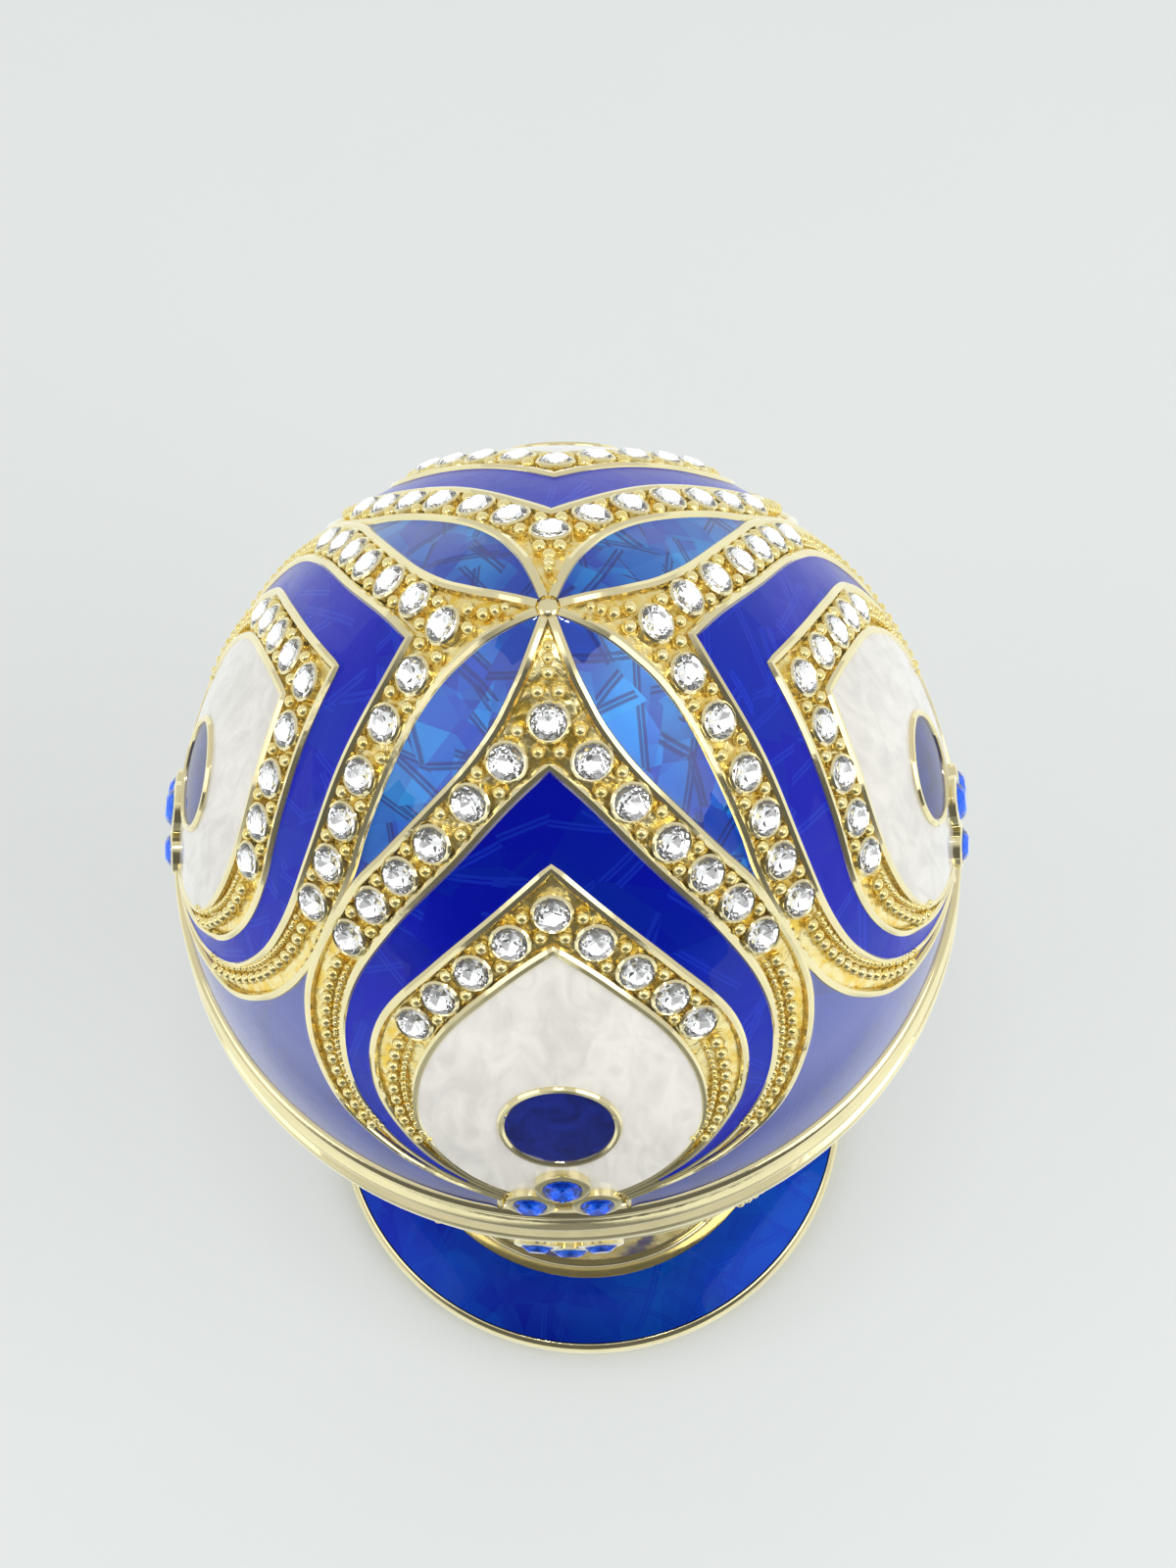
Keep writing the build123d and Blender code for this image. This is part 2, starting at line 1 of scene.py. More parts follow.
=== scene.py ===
import json
from dataclasses import dataclass
from math import asin, atan2, cos, hypot, pi, radians, sin, sqrt

import bmesh
import bpy
from mathutils import Matrix, Vector


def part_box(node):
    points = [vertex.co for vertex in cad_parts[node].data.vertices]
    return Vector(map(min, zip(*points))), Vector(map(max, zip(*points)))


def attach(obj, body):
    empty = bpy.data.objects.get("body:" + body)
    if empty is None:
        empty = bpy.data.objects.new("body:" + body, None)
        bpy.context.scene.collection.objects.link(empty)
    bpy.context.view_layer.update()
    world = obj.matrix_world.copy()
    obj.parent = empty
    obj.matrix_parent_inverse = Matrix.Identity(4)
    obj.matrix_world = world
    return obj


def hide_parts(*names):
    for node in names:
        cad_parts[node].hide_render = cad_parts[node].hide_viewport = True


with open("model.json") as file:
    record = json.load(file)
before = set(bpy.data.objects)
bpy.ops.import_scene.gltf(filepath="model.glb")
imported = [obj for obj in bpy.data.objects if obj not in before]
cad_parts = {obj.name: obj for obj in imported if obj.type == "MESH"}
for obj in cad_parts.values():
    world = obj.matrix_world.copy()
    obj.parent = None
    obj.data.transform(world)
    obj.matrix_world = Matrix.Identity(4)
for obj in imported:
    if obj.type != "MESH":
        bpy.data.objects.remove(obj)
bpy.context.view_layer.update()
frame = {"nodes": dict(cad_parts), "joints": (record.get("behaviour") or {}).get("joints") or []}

bl_info = {
    "name": "Enamelled Egg Box",
    "version": (1, 0, 0),
    "blender": (4, 5, 0),
    "location": "3D View > Sidebar > Egg Box",
    "description": "Models the gold work, enamel and stones of an egg box around its packed model",
    "category": "Add Mesh",
}

MM = 0.001
BELT = Vector((0.0, 0.0, frame["joints"][0]["pos_m"][2]))  # the middle of the parting plane
FOOT_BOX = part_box("foot")
STEM_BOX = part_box("stem")
PAD_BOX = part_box("felt_pad")
CORNER_POINTS = 5  # on each rounded corner

# Outlines of one arch: places along each gold wall, as shares of the way from the middle of
# the arch to its neighbour, and of the way from the belt to the end of the egg.
POLE_SHARE = 0.9993  # as near to the end as the walls' middles go
ARCH_WALL_SHARES = (
    (0.47, POLE_SHARE), (0.47, 0.977), (0.52, 0.955), (0.573, 0.927), (0.677, 0.884), (0.79, 0.833),
    (0.92, 0.740), (0.972, 0.690), (0.992, 0.610), (0.992, 0.530), (0.96, 0.455), (0.88, 0.373),
    (0.73, 0.277), (0.52, 0.208), (0.40, 0.182), (0.30, 0.163), (0.20, 0.140),
)
BAND_WALL_SHARES = (
    (0.0, 0.902), (0.287, 0.866), (0.555, 0.782), (0.752, 0.660), (0.818, 0.548), (0.798, 0.445),
    (0.702, 0.341), (0.549, 0.258), (0.40, 0.207), (0.30, 0.180), (0.19, 0.151),
)
INNER_WALL_SHARES = (
    (0.0, 0.797), (0.278, 0.731), (0.502, 0.640), (0.651, 0.531), (0.664, 0.444), (0.607, 0.359),
    (0.49, 0.281), (0.40, 0.236), (0.30, 0.199), (0.19, 0.164),
)
DROP_WALL_SHARES = (
    (0.0, 0.695), (0.231, 0.636), (0.427, 0.536), (0.491, 0.433), (0.471, 0.336), (0.40, 0.268),
    (0.31, 0.218), (0.22, 0.184), (0.12, 0.158),
)
LENS_COUNT = 8  # the first wall places, which bound the petal between two arches
SPANDREL_START = 10  # the first wall place beside the spandrel under the petal
PETAL_TIP_SHARE = 0.675
SPANDREL_TIP_SHARE = 0.500
OUTER_STONE_SHARES = (
    (0.0, 0.940), (0.379, 0.900), (0.568, 0.849), (0.703, 0.789), (0.794, 0.733),
    (0.860, 0.675), (0.893, 0.610),
)
INNER_STONE_SHARES = (
    (0.0, 0.743), (0.195, 0.701), (0.345, 0.649), (0.459, 0.595), (0.535, 0.538),
)
OUTER_TAIL_SHARES = (
    (0.903, 0.560), (0.889, 0.486), (0.833, 0.406), (0.729, 0.324), (0.60, 0.258),
)
INNER_TAIL_SHARES = ((0.578, 0.487), (0.575, 0.410), (0.515, 0.325), (0.46, 0.286))
DOT_SHARE = 0.376
LARGE_BLUE_SHARE = 0.216
SMALL_BLUE_SHARES = (0.102, 0.150)
# Beads over the topmost stone: millimetres across and along, and their size.
TOP_BEADS = (
    (-0.7, 2.05, 1.0), (0.7, 2.05, 1.0), (0.0, 3.3, 0.95), (0.0, 4.3, 0.8), (0.0, 5.1, 0.6),
)
# Rings of a cut stone's corners: how many, their reach, their turn and their height.
FACET_RINGS = (
    (8, 0.27, 0.0, 0.19), (8, 0.40, 0.5, 0.12), (16, 0.5, 0.0, 0.03), (16, 0.5, 0.0, 0.0),
    (8, 0.27, 0.5, -0.115), (1, 0.0, 0.0, -0.19),
)


def number_property(name, value, text, **kind):
    return bpy.props.FloatProperty(name=name, description=text, default=value, **kind)


def length_property(name, size, text):
    return number_property(name, size * MM, text, unit="LENGTH")


def vector_property(name, values, text, **kind):
    return bpy.props.FloatVectorProperty(name=name, description=text, default=values, **kind)


def colour_property(name, colour, text):
    return vector_property(name, colour, text, subtype="COLOR", min=0.0, max=1.0)


class EggSizes(bpy.types.PropertyGroup):
    belt_radius: length_property("Belt radius", 32.0, "Radius of the crest at the widest place")
    lid_height: length_property("Lid height", 44.5, "From the belt to the top of the lid")
    lid_tip_radius: length_property("Lid end radius", 10.3, "Radius of the round end of the lid")
    base_depth: length_property("Base depth", 43.5, "From the belt to the bottom of the egg")
    base_tip_radius: length_property("Base end radius", 19.2, "Radius of the round end of the base")
    flank_turn: number_property(
        "Flank turn", radians(25.0), "Angle that the arc beside the belt ends at", subtype="ANGLE")
    shoulder_turn: number_property(
        "Shoulder turn", radians(59.0), "Angle that the middle arc ends at", subtype="ANGLE")
    shell_wall: length_property("Shell wall", 2.2, "From the crest to the inside")
    parting_gap: length_property("Parting gap", 0.1, "Gap between the lid and the base")
    band_floor: length_property("Band floor", 0.45, "Depth of the stone bands under the crest")
    arch_count: bpy.props.IntProperty(
        name="Arches", description="How many arches stand around the egg", default=4)


class CellSizes(bpy.types.PropertyGroup):
    wall_radius: length_property("Wall radius", 0.42, "Radius of the gold walls' round top")
    wall_sink: length_property("Wall sink", 0.24, "Depth of the walls' middle under the crest")
    enamel_sink: length_property("Enamel sink", 0.16, "From the crest down to the enamel's middle")
    enamel_rise: length_property("Enamel rise", 0.12, "How far the enamel climbs at a wall")
    enamel_creep: length_property("Enamel creep", 0.9, "Width of the enamel's climbing edge")
    enamel_depth: length_property("Enamel depth", 0.5, "Thickness of the enamel")
    nub_radius: length_property("Pole nub radius", 0.95, "Radius of the nub on top")
    dot_radius: length_property("Dot radius", 4.1, "Radius of the round blue cell")
    dot_wall: length_property("Dot wall", 0.5, "Width of the gold ring around it")


class StoneSizes(bpy.types.PropertyGroup):
    clear_size: length_property("Clear stone", 2.6, "Diameter of a clear stone")
    large_blue_size: length_property("Large blue stone", 3.0, "Diameter of the upper blue stone")
    small_blue_size: length_property("Small blue stone", 2.6, "Diameter of the lower blue stones")
    girdle_lift: length_property("Girdle lift", 0.12, "Height of a stone's girdle over the crest")
    collet_wall: length_property("Collet wall", 0.22, "Thickness of the ring around a clear stone")
    collet_rim: length_property("Bezel wall", 0.62, "Width of the ring around a blue stone")
    collet_rise: length_property("Bezel rise", 0.5, "Height of the bezels over the crest")
    bead_radius: length_property("Bead radius", 0.55, "Radius of the small cast beads")
    bead_offset: length_property("Bead offset", 0.98, "From the stones' line to a bead")
    string_step: length_property("Bead step", 1.26, "From bead to bead in the strings")
    edge_bead: length_property("Edge bead", 0.88, "From a string to the small beads beside it")


class RimSizes(bpy.types.PropertyGroup):
    lid_height: length_property("Lid rim", 4.4, "Height of the mouldings on the lid")
    lid_roll: length_property("Lid roll", 1.9, "Height of the round moulding beside the parting")
    proud: length_property("Proud", 0.38, "How far the mouldings stand out of the egg")
    cove_depth: length_property("Cove depth", 0.3, "Depth of the hollow between the mouldings")
    wire_height: length_property("Wire height", 1.0, "Height of the wire over the hollow")
    base_height: length_property("Base rim", 2.7, "Height of the moulding on the base")
    inset: length_property("Edge inset", 0.4, "How far a moulding's edges stay inside its middle")
    lip_height: length_property("Lip height", 1.6, "Height of the lip that guides the lid")
    lip_wall: length_property("Lip wall", 1.1, "Thickness of the lip")
    lip_gap: length_property("Lip gap", 0.3, "Gap around the lip")
    lip_root: length_property("Lip root", 1.5, "How far the lip reaches down inside the base")


class StandSizes(bpy.types.PropertyGroup):
    cup_radius: length_property("Cup radius", 7.2, "Radius of the cup under the egg")
    cup_edge: length_property("Cup edge", 0.8, "Width of the cup's rim")
    waist_radius: length_property("Waist radius", 4.6, "Radius of the stem's waist")
    knop_radius: length_property("Knop radius", 7.2, "Radius of the knop")
    knop_height: length_property("Knop height", 4.0, "Height of the knop")
    stem_foot_radius: length_property("Stem foot radius", 9.0, "Radius of the stem on the foot")
    collar_radius: length_property("Collar radius", 20.0, "Radius where the enamel starts")
    enamel_edge: length_property("Enamel edge", 27.0, "Outer radius of the foot's enamel")
    enamel_depth: length_property("Enamel depth", 0.7, "Depth of the foot's enamel")
    enamel_rise: length_property("Enamel rise", 4.4, "Height of the enamel at the collar")
    metal: length_property("Metal", 1.8, "Thickness of the foot's metal")
    edge_height: length_property("Edge height", 1.7, "Height of the foot's gold edge")
    hub_radius: length_property("Hub radius", 9.6, "Radius of the hub under the stem")
    screw_bore: length_property("Screw bore", 2.3, "Radius of the hole for the screw")


class Finishes(bpy.types.PropertyGroup):
    gold: colour_property("Gold", (0.93, 0.83, 0.49), "Polished gold plating")
    cast_gold: colour_property("Cast gold", (0.96, 0.84, 0.43), "Rough gold between the stones")
    azure: colour_property("Azure", (0.004, 0.048, 0.42), "Enamel of the petals")
    azure_light: colour_property("Light azure", (0.006, 0.235, 0.66), "Facets under the petals")
    deep_blue: colour_property("Deep blue", (0.003, 0.008, 0.46), "Enamel of the arches")
    deep_light: colour_property("Lighter blue", (0.003, 0.022, 0.44), "Facets under the arches")
    field_blue: colour_property("Field blue", (0.022, 0.042, 0.31), "Enamel under the arches")
    navy: colour_property("Navy", (0.008, 0.018, 0.20), "Enamel of the dots")
    pearl: colour_property("Pearl", (0.765, 0.74, 0.685), "Enamel of the drops")
    crystal: colour_property("Crystal", (1.0, 1.0, 1.0), "Clear stones")
    blue_glass: colour_property("Blue glass", (0.10, 0.42, 1.0), "Blue stones")
    silver: colour_property("Silver", (0.97, 0.97, 0.98), "Foil behind the clear stones")
    sapphire: colour_property("Sapphire", (0.05, 0.32, 1.0), "Foil behind the blue stones")
    steel: colour_property("Steel", (0.56, 0.56, 0.57), "Magnets and screw")
    felt: colour_property("Felt", (0.012, 0.018, 0.07), "Felt under the foot")
    floor: colour_property("Floor", (0.78, 0.81, 0.80), "Floor and background")


class StageSettings(bpy.types.PropertyGroup):
    camera_place: vector_property(
        "Camera place", (0.00641, -0.07662, 0.27481), "Where the camera stands",
        subtype="TRANSLATION", unit="LENGTH")
    camera_target: vector_property(
        "Camera target", (0.001624, 0.005805, 0.0785), "Point that the camera looks at",
        subtype="TRANSLATION", unit="LENGTH")
    camera_right: vector_property(
        "Camera right", (0.999717, 0.001549, -0.023723), "Direction to the right of the picture",
        subtype="DIRECTION")
    lens: number_property(
        "Lens", 58.16, "Focal length over a 36 mm high sensor, in millimetres", unit="CAMERA")
    tent_light: number_property("Tent light", 0.80, "Brightness of the white tent")
    tent_dark: number_property("Tent dark", 0.06, "Brightness of its dark front")
    mirrored_tent: number_property("Mirrored tent", 0.90, "Share of its light in reflections")
    refracted_tent: number_property("Refracted tent", 2.0, "Share of its light in the stones")
    stone_glow: number_property("Stone glow", 0.35, "Even light added in the stones")
    mirrored_floor: number_property("Mirrored floor", 0.3, "Floor light added in reflections")
    mirrored_front: number_property(
        "Mirrored front", 0.2, "Share that the floor in front keeps in reflections")
    lamp_power: number_property("Lamp power", 0.42, "Power of the soft key lamp", unit="POWER")


def sizes(group):
    return getattr(bpy.context.scene, group)


class EggHalf:
    """The lid's or the base's half of the egg: three tangent arcs turned about the axis."""

    def __init__(self, name, side, height, tip_radius):
        egg = sizes("egg_sizes")
        self.name, self.side, self.height = name, side, height
        first, last = egg.flank_turn, egg.shoulder_turn
        # The radii of the two lower arcs with which all three arcs meet without a corner.
        c1, c2, s1, s2 = cos(first), cos(last), sin(first), sin(last)
        across = tip_radius * c2 - egg.belt_radius
        along = height - tip_radius * (1 - s2)
        scale = (c1 - 1) * (s2 - s1) - (c2 - c1) * s1
        flank = (across * (s2 - s1) - (c2 - c1) * along) / scale
        shoulder = ((c1 - 1) * along - s1 * across) / scale
        middle = (egg.belt_radius - flank, 0.0)
        upper = (middle[0] + (flank - shoulder) * c1, (flank - shoulder) * s1)
        self.arcs = (
            (middle, flank, 0.0, first),
            (upper, shoulder, first, last),
            ((0.0, height - tip_radius), tip_radius, last, pi / 2),
        )
        tilt = pi / 4  # of the drawing plane, from upright
        rim = sizes("rim_sizes")
        self.rim_share = ((rim.lid_height if side > 0 else rim.base_height) - 0.2 * MM) / height
        self.out = Vector((0.0, -cos(tilt), side * sin(tilt)))
        self.up = Vector((0.0, sin(tilt), side * cos(tilt)))

    def level(self, height):
        """Radius of the crest at this height over the belt."""
        for (across, along), radius, start, end in self.arcs:
            if height <= along + radius * sin(end):
                break
        return across + radius * cos(asin(min((height - along) / radius, 1.0)))

    def section(self, lift, low, steps):
        """Points of the half section at this lift over the crest, from a height over the belt."""
        points = []
        for (across, along), radius, start, end in self.arcs:
            for index in range(steps):
                turn = start + (end - start) * index / steps
                height = along + (radius + lift) * sin(turn)
                if height > low:
                    reach = across + (radius + lift) * cos(turn)
                    points.append((reach, BELT.z + self.side * height))
        return points + [(0.0, BELT.z + self.side * (self.height + lift))]

    def land(self, ray, lift=0.0):
        """Where a ray from the middle of the belt meets the egg, and the way the surface faces."""
        reach = hypot(ray.x, ray.y)
        rise = max(self.side * ray.z, 0.0)
        steepness = hypot(reach, rise)
        level, climb = reach / steepness, rise / steepness
        for (across, along), radius, start, end in self.arcs:
            crest = radius + lift
            towards = across * level + along * climb
            distance = towards + sqrt(towards ** 2 - across ** 2 - along ** 2 + crest ** 2)
            x, y = distance * level, distance * climb
            turn = atan2(y - along, x - across)
            if turn <= end:
                break
        heading = Vector((ray.x, ray.y)) / reach if reach else Vector((0.0, 1.0))
        normal = Vector((heading.x * cos(turn), heading.y * cos(turn), self.side * sin(turn)))
        return Vector((heading.x * x, heading.y * x, BELT.z + self.side * y)), normal

    def drawn(self, azimuth, share):
        """A place on the tilted drawing plane that sees the arch from the middle of the belt."""
        height = share * self.height
        radius = self.level(height)
        angle = azimuth * pi / sizes("egg_sizes").arch_count
        place = Vector((radius * sin(angle), -radius * cos(angle), self.side * height))
        return Vector((place.x, place.dot(self.up))) / place.dot(self.out)

    def ray(self, flat):
        return self.out + Vector((flat.x, 0.0, 0.0)) + self.up * flat.y

    def seat(self, flat, along=None):
        """Matrix of a place on the crest: Z faces out, and Y follows the drawn direction."""
        origin, normal = self.land(self.ray(flat))
        ahead = Vector((0.0, 1.0)) if along is None else along.normalized()
        onward = self.land(self.ray(flat + ahead * 0.001))[0] - origin
        y = (onward - normal * onward.dot(normal)).normalized()
        turned = Matrix((y.cross(normal), y, normal)).transposed().to_4x4()
        return Matrix.Translation(origin) @ turned


def halves():
    egg = sizes("egg_sizes")
    return (
        EggHalf("lid", 1, egg.lid_height, egg.lid_tip_radius),
        EggHalf("base", -1, egg.base_depth, egg.base_tip_radius),
    )


def flipped(places):
    return [Vector((-place.x, place.y)) for place in places]


def over_top(right):
    """Places from one side of an arch over its top to the other."""
    return flipped(right)[:0:-1] + right


def beside(shares):
    """Places counted from the middle of an arch, counted from the line between two arches."""
    return [(1 - azimuth, share) for azimuth, share in shares]


def smooth_path(knots, steps):
    """Evenly spaced points on a smooth curve through the knots."""
    knots = [Vector(knot) for knot in knots]
    marks = [0.0]
    for before, after in zip(knots, knots[1:]):
        marks.append(marks[-1] + (after - before).length)
    slopes = []
    for index in range(len(knots)):
        low, high = max(index - 1, 0), min(index + 1, len(knots) - 1)
        slopes.append((knots[high] - knots[low]) / (marks[high] - marks[low]))
    slopes[0] = slopes[0] * 2 - slopes[1]
    slopes[-1] = slopes[-1] * 2 - slopes[-2]
    points, segment = [], 0
    for step in range(steps + 1):
        mark = marks[-1] * step / steps
        while segment < len(knots) - 2 and mark > marks[segment + 1]:
            segment += 1
        span = marks[segment + 1] - marks[segment]
        t = (mark - marks[segment]) / span
        points.append(
            knots[segment] * (2 * t ** 3 - 3 * t ** 2 + 1)
            + slopes[segment] * (t ** 3 - 2 * t ** 2 + t) * span
            + knots[segment + 1] * (3 * t ** 2 - 2 * t ** 3)
            + slopes[segment + 1] * (t ** 3 - t ** 2) * span)
    return points


def drawn_places(half, shares):
    return [half.drawn(azimuth, share) for azimuth, share in shares]


def wall_path(half, shares, steps):
    return smooth_path(drawn_places(half, shares), steps)


def landed(half, path, lift):
    return [half.land(half.ray(flat), lift)[0] for flat in path]


def at(path, share):
    """The point this share of the way along evenly spaced points."""
    place = min(max(share, 0.0), 1.0) * (len(path) - 1)
    index = min(int(place), len(path) - 2)
    return path[index].lerp(path[index + 1], place - index)


def rounded(corners, radius):
    """A closed outline with its corners rounded."""
    points, steps = [], CORNER_POINTS - 1
    for index, corner in enumerate(corners):
        here = Vector(corner)
        before, after = Vector(corners[index - 1]), Vector(corners[(index + 1) % len(corners)])
        back = min(radius, (before - here).length / 2.01)
        onward = min(radius, (after - here).length / 2.01)
        start = here + (before - here).normalized() * back
        end = here + (after - here).normalized() * onward
        for step in range(CORNER_POINTS):
            t = step / steps
            points.append(start.lerp(here, t).lerp(here.lerp(end, t), t))
    return points


def bowed(start, end, bulge, steps=10):
    """Points of a moulding's bow between two places in a half section."""
    start, end = Vector(start), Vector(end)
    across = Vector(((end - start).y, -(end - start).x)).normalized()
    return [
        start.lerp(end, step / steps) + across * bulge * sin(pi * step / steps)
        for step in range(steps + 1)
    ]


def spun(profile, steps, closed=True):
    """A bmesh turned about the axis from points (radius, height)."""
    bm = bmesh.new()
    ring = [bm.verts.new((radius, 0.0, height)) for radius, height in profile]
    pairs = list(zip(ring, ring[1:]))
    if closed:
        pairs.append((ring[-1], ring[0]))
    edges = [bm.edges.new(pair) for pair in pairs]
    bmesh.ops.spin(bm, geom=ring + edges, cent=(0, 0, 0), axis=(0, 0, 1), dvec=(0, 0, 0),
                   angle=2 * pi, steps=steps, use_merge=True, use_duplicate=False)
    bmesh.ops.remove_doubles(bm, verts=bm.verts[:], dist=0.002 * MM)
    bmesh.ops.recalc_face_normals(bm, faces=bm.faces[:])
    return bm


def all_round(bm, between=False):
    """The same piece on every arch, or between every two arches."""
    count = sizes("egg_sizes").arch_count
    first = bm.verts[:] + bm.edges[:] + bm.faces[:]
    start = pi / count if between else 0.0
    copies = [bm.verts[:]]
    for index in range(1, count):
        copy = bmesh.ops.duplicate(bm, geom=first)["geom"]
        copies.append([item for item in copy if isinstance(item, bmesh.types.BMVert)])
    for index, verts in enumerate(copies):
        turned = Matrix.Rotation(start + index * 2 * pi / count, 3, "Z")
        bmesh.ops.rotate(bm, verts=verts, cent=(0.0, 0.0, 0.0), matrix=turned)
    return bm


def moved(x=0.0, y=0.0, z=0.0):
    return Matrix.Translation((x, y, z))


def stamp(target, shape, places):
    """Adds copies of a small bmesh to the target, one at each matrix, and frees it."""
    mesh = bpy.data.meshes.new("stamp")
    shape.to_mesh(mesh)
    shape.free()
    for place in places:
        before = len(target.verts)
        target.from_mesh(mesh)
        target.verts.ensure_lookup_table()
        bmesh.ops.transform(target, matrix=place, verts=target.verts[before:])
    bpy.data.meshes.remove(mesh)


def linked(name, data):
    """A new object in the scene."""
    made = bpy.data.objects.new(name, data)
    bpy.context.scene.collection.objects.link(made)
    return made


def piece(name, bm, body, materials, replaced=(), sharp=radians(40)):
    """A finished piece: smooth faces, sharp creases, its body and its CAD nodes."""
    for face in bm.faces:
        face.smooth = True
    for edge in bm.edges:
        if len(edge.link_faces) == 2 and edge.calc_face_angle(0.0) > sharp:
            edge.smooth = False
    mesh = bpy.data.meshes.new(name)
    bm.to_mesh(mesh)
    bm.free()
    for material in materials:
        mesh.materials.append(material)
    made = linked(name, mesh)
    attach(made, body)
    if replaced:
        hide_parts(*replaced)


def gold_piece(name, bm, body, *replaced):
    piece(name, bm, body, [finish(polished_gold)], replaced)


def wires(paths, radius, share=None):
    """Round wires along 3-D points, as one bmesh. A closed path ends where it starts."""
    curve = bpy.data.curves.new("wires", "CURVE")
    curve.dimensions = "3D"
    curve.bevel_depth = radius
    curve.bevel_resolution = 2
    curve.use_fill_caps = True
    for points in paths:
        closed = (points[0] - points[-1]).length < 0.01 * MM
        kept = points[:-1] if closed else points
        spline = curve.splines.new("POLY")
        spline.points.add(len(kept) - 1)
        for place, point in zip(spline.points, kept):
            place.co = (*point, 1.0)
            place.radius = share(point) if share else 1.0
        spline.use_cyclic_u = closed
        spline.use_smooth = True
    holder = bpy.data.objects.new("wires", curve)
    mesh = bpy.data.meshes.new_from_object(holder)
    bm = bmesh.new()
    bm.from_mesh(mesh)
    bpy.data.objects.remove(holder)
    bpy.data.curves.remove(curve)
    bpy.data.meshes.remove(mesh)
    return bm


class Nodes:
    """Short way to lay the nodes and links of a material or of the world."""

    def __init__(self, holder):
        holder.use_nodes = True
        self.tree = holder.node_tree
        self.shader = self.tree.nodes.get("Principled BSDF") or self.tree.nodes["Background"]
        self.coordinates = self.add("ShaderNodeTexCoord")
        self.place = self.coordinates["Object"]

    def put(self, socket, value):
        """A socket gets a link or a plain value, and a colour its fourth number."""
        if isinstance(value, bpy.types.NodeSocket):
            self.tree.links.new(value, socket)
        else:
            socket.default_value = (*value, 1.0) if socket.type == "RGBA" else value

    def feed(self, node, values):
        for name, value in values.items():
            self.put(node.inputs[name.replace("_", " ")], value)

    def surface(self, **values):
        self.feed(self.shader, values)

    def add(self, kind, *values, mode=(), **named):
        """The outputs of a new node, with values on its first sockets or on named ones."""
        node = self.tree.nodes.new(kind)
        if mode:
            setattr(node, *mode)
        for socket, value in zip(node.inputs, values):
            self.put(socket, value)
        self.feed(node, named)
        return node.outputs

    def math(self, operation, *values):
        return self.add("ShaderNodeMath", *values, mode=("operation", operation))[0]

    def vector(self, operation, *values):
        outputs = self.add("ShaderNodeVectorMath", *values, mode=("operation", operation))
        return outputs["Value" if operation in {"DOT_PRODUCT", "LENGTH"} else "Vector"]

    def noise(self, scale, detail=3.0, distortion=0.0, place=None):
        return self.add("ShaderNodeTexNoise", Vector=place or self.place, Scale=scale,
                        Detail=detail, Distortion=distortion)["Fac"]

    def ramp(self, factor, low, high, start=0.3, end=0.7):
        colour = self.add("ShaderNodeValToRGB", factor)["Color"]
        elements = colour.node.color_ramp.elements
        for element, position, shown in zip(elements, (start, end), (low, high)):
            element.position = position
            element.color = (*shown, 1.0)
        return colour

    def span(self, value, low, high, out_low=0.0, out_high=1.0, shape="LINEAR"):
        return self.add("ShaderNodeMapRange", value, low, high, out_low, out_high,
                        mode=("interpolation_type", shape))["Result"]

    def mix(self, factor, first, second):
        colour = self.add("ShaderNodeMix", factor, mode=("data_type", "RGBA"))[2]
        self.put(colour.node.inputs[6], first)
        self.put(colour.node.inputs[7], second)
        return colour

    def rough(self, grain, low, high):
        """A roughness between two values, from a noise that is mostly near its middle."""
        return self.span(grain, 0.3, 0.7, low, high)

    def bump(self, height, distance, strength):
        return self.add("ShaderNodeBump", Height=height, Distance=distance,
                        Strength=strength)["Normal"]


def finish(maker, *colours, name=None):
    """The maker's material, made when it is first asked for."""
    name = name or maker.__name__.replace("_", " ")
    if name not in bpy.data.materials:
        maker(Nodes(bpy.data.materials.new(name)), *colours)
    return bpy.data.materials[name]


def shade(colour, factor):
    return tuple(channel * factor for channel in colour)


def polished_gold(nodes):
    gold = sizes("finishes").gold
    nodes.surface(
        Metallic=0.9,
        Base_Color=nodes.ramp(nodes.noise(260.0, 4.0), shade(gold, 0.88), gold),
        Roughness=nodes.rough(nodes.noise(900.0, 5.0), 0.05, 0.13),
        Normal=nodes.bump(nodes.noise(700.0, 2.0), 0.03 * MM, 0.5))


def cast_gold(nodes):
    gold = sizes("finishes").cast_gold
    # Darker, warmer gold where the lumps are low: the same lumps raise the bump, so this is partly
    # the cast gold's own tone and partly painted shade in the hollows.
    warm_hollow_shade = (gold[0] * 0.95, gold[1] * 0.76, gold[2] * 0.26)
    grain = nodes.noise(1700.0, 4.0)
    lumps = nodes.noise(640.0, 2.0, 0.8)
    nodes.surface(
        Metallic=0.85, Base_Color=nodes.ramp(lumps, warm_hollow_shade, gold, 0.36, 0.60),
        Roughness=nodes.rough(grain, 0.14, 0.34),
        Normal=nodes.bump(nodes.math("MULTIPLY_ADD", grain, 0.3, lumps), 0.22 * MM, 0.85))


def bead_gold(nodes):
    gold = sizes("finishes").cast_gold
    yellow = (gold[0], gold[1] * 0.92, gold[2] * 0.62)
    grain = nodes.noise(1300.0, 3.0)
    nodes.surface(
        Metallic=0.85, Base_Color=nodes.ramp(grain, yellow, gold, 0.36, 0.60),
        Roughness=nodes.rough(grain, 0.14, 0.24),
        Normal=nodes.bump(grain, 0.05 * MM, 0.6))


def cuts(nodes, size, shift):
    """Random straight cuts: the distance from one, its side of 0 or 1, and a random number."""
    place = nodes.add("ShaderNodeMapping", Vector=nodes.place,
                      Location=(shift, shift * 0.6, shift * 1.7))["Vector"]
    cells = nodes.add("ShaderNodeTexVoronoi", Vector=place, Scale=1.0 / size)
    inside = nodes.vector("SUBTRACT", place, cells["Position"])
    chances = cells["Color"]
    heading = nodes.vector("NORMALIZE", nodes.vector("SUBTRACT", chances, (0.5, 0.5, 0.5)))
    distance = nodes.vector("DOT_PRODUCT", inside, heading)
    side = nodes.span(distance, -0.04 * MM, 0.04 * MM)
    return distance, side, nodes.add("ShaderNodeSeparateColor", chances)["Red"]


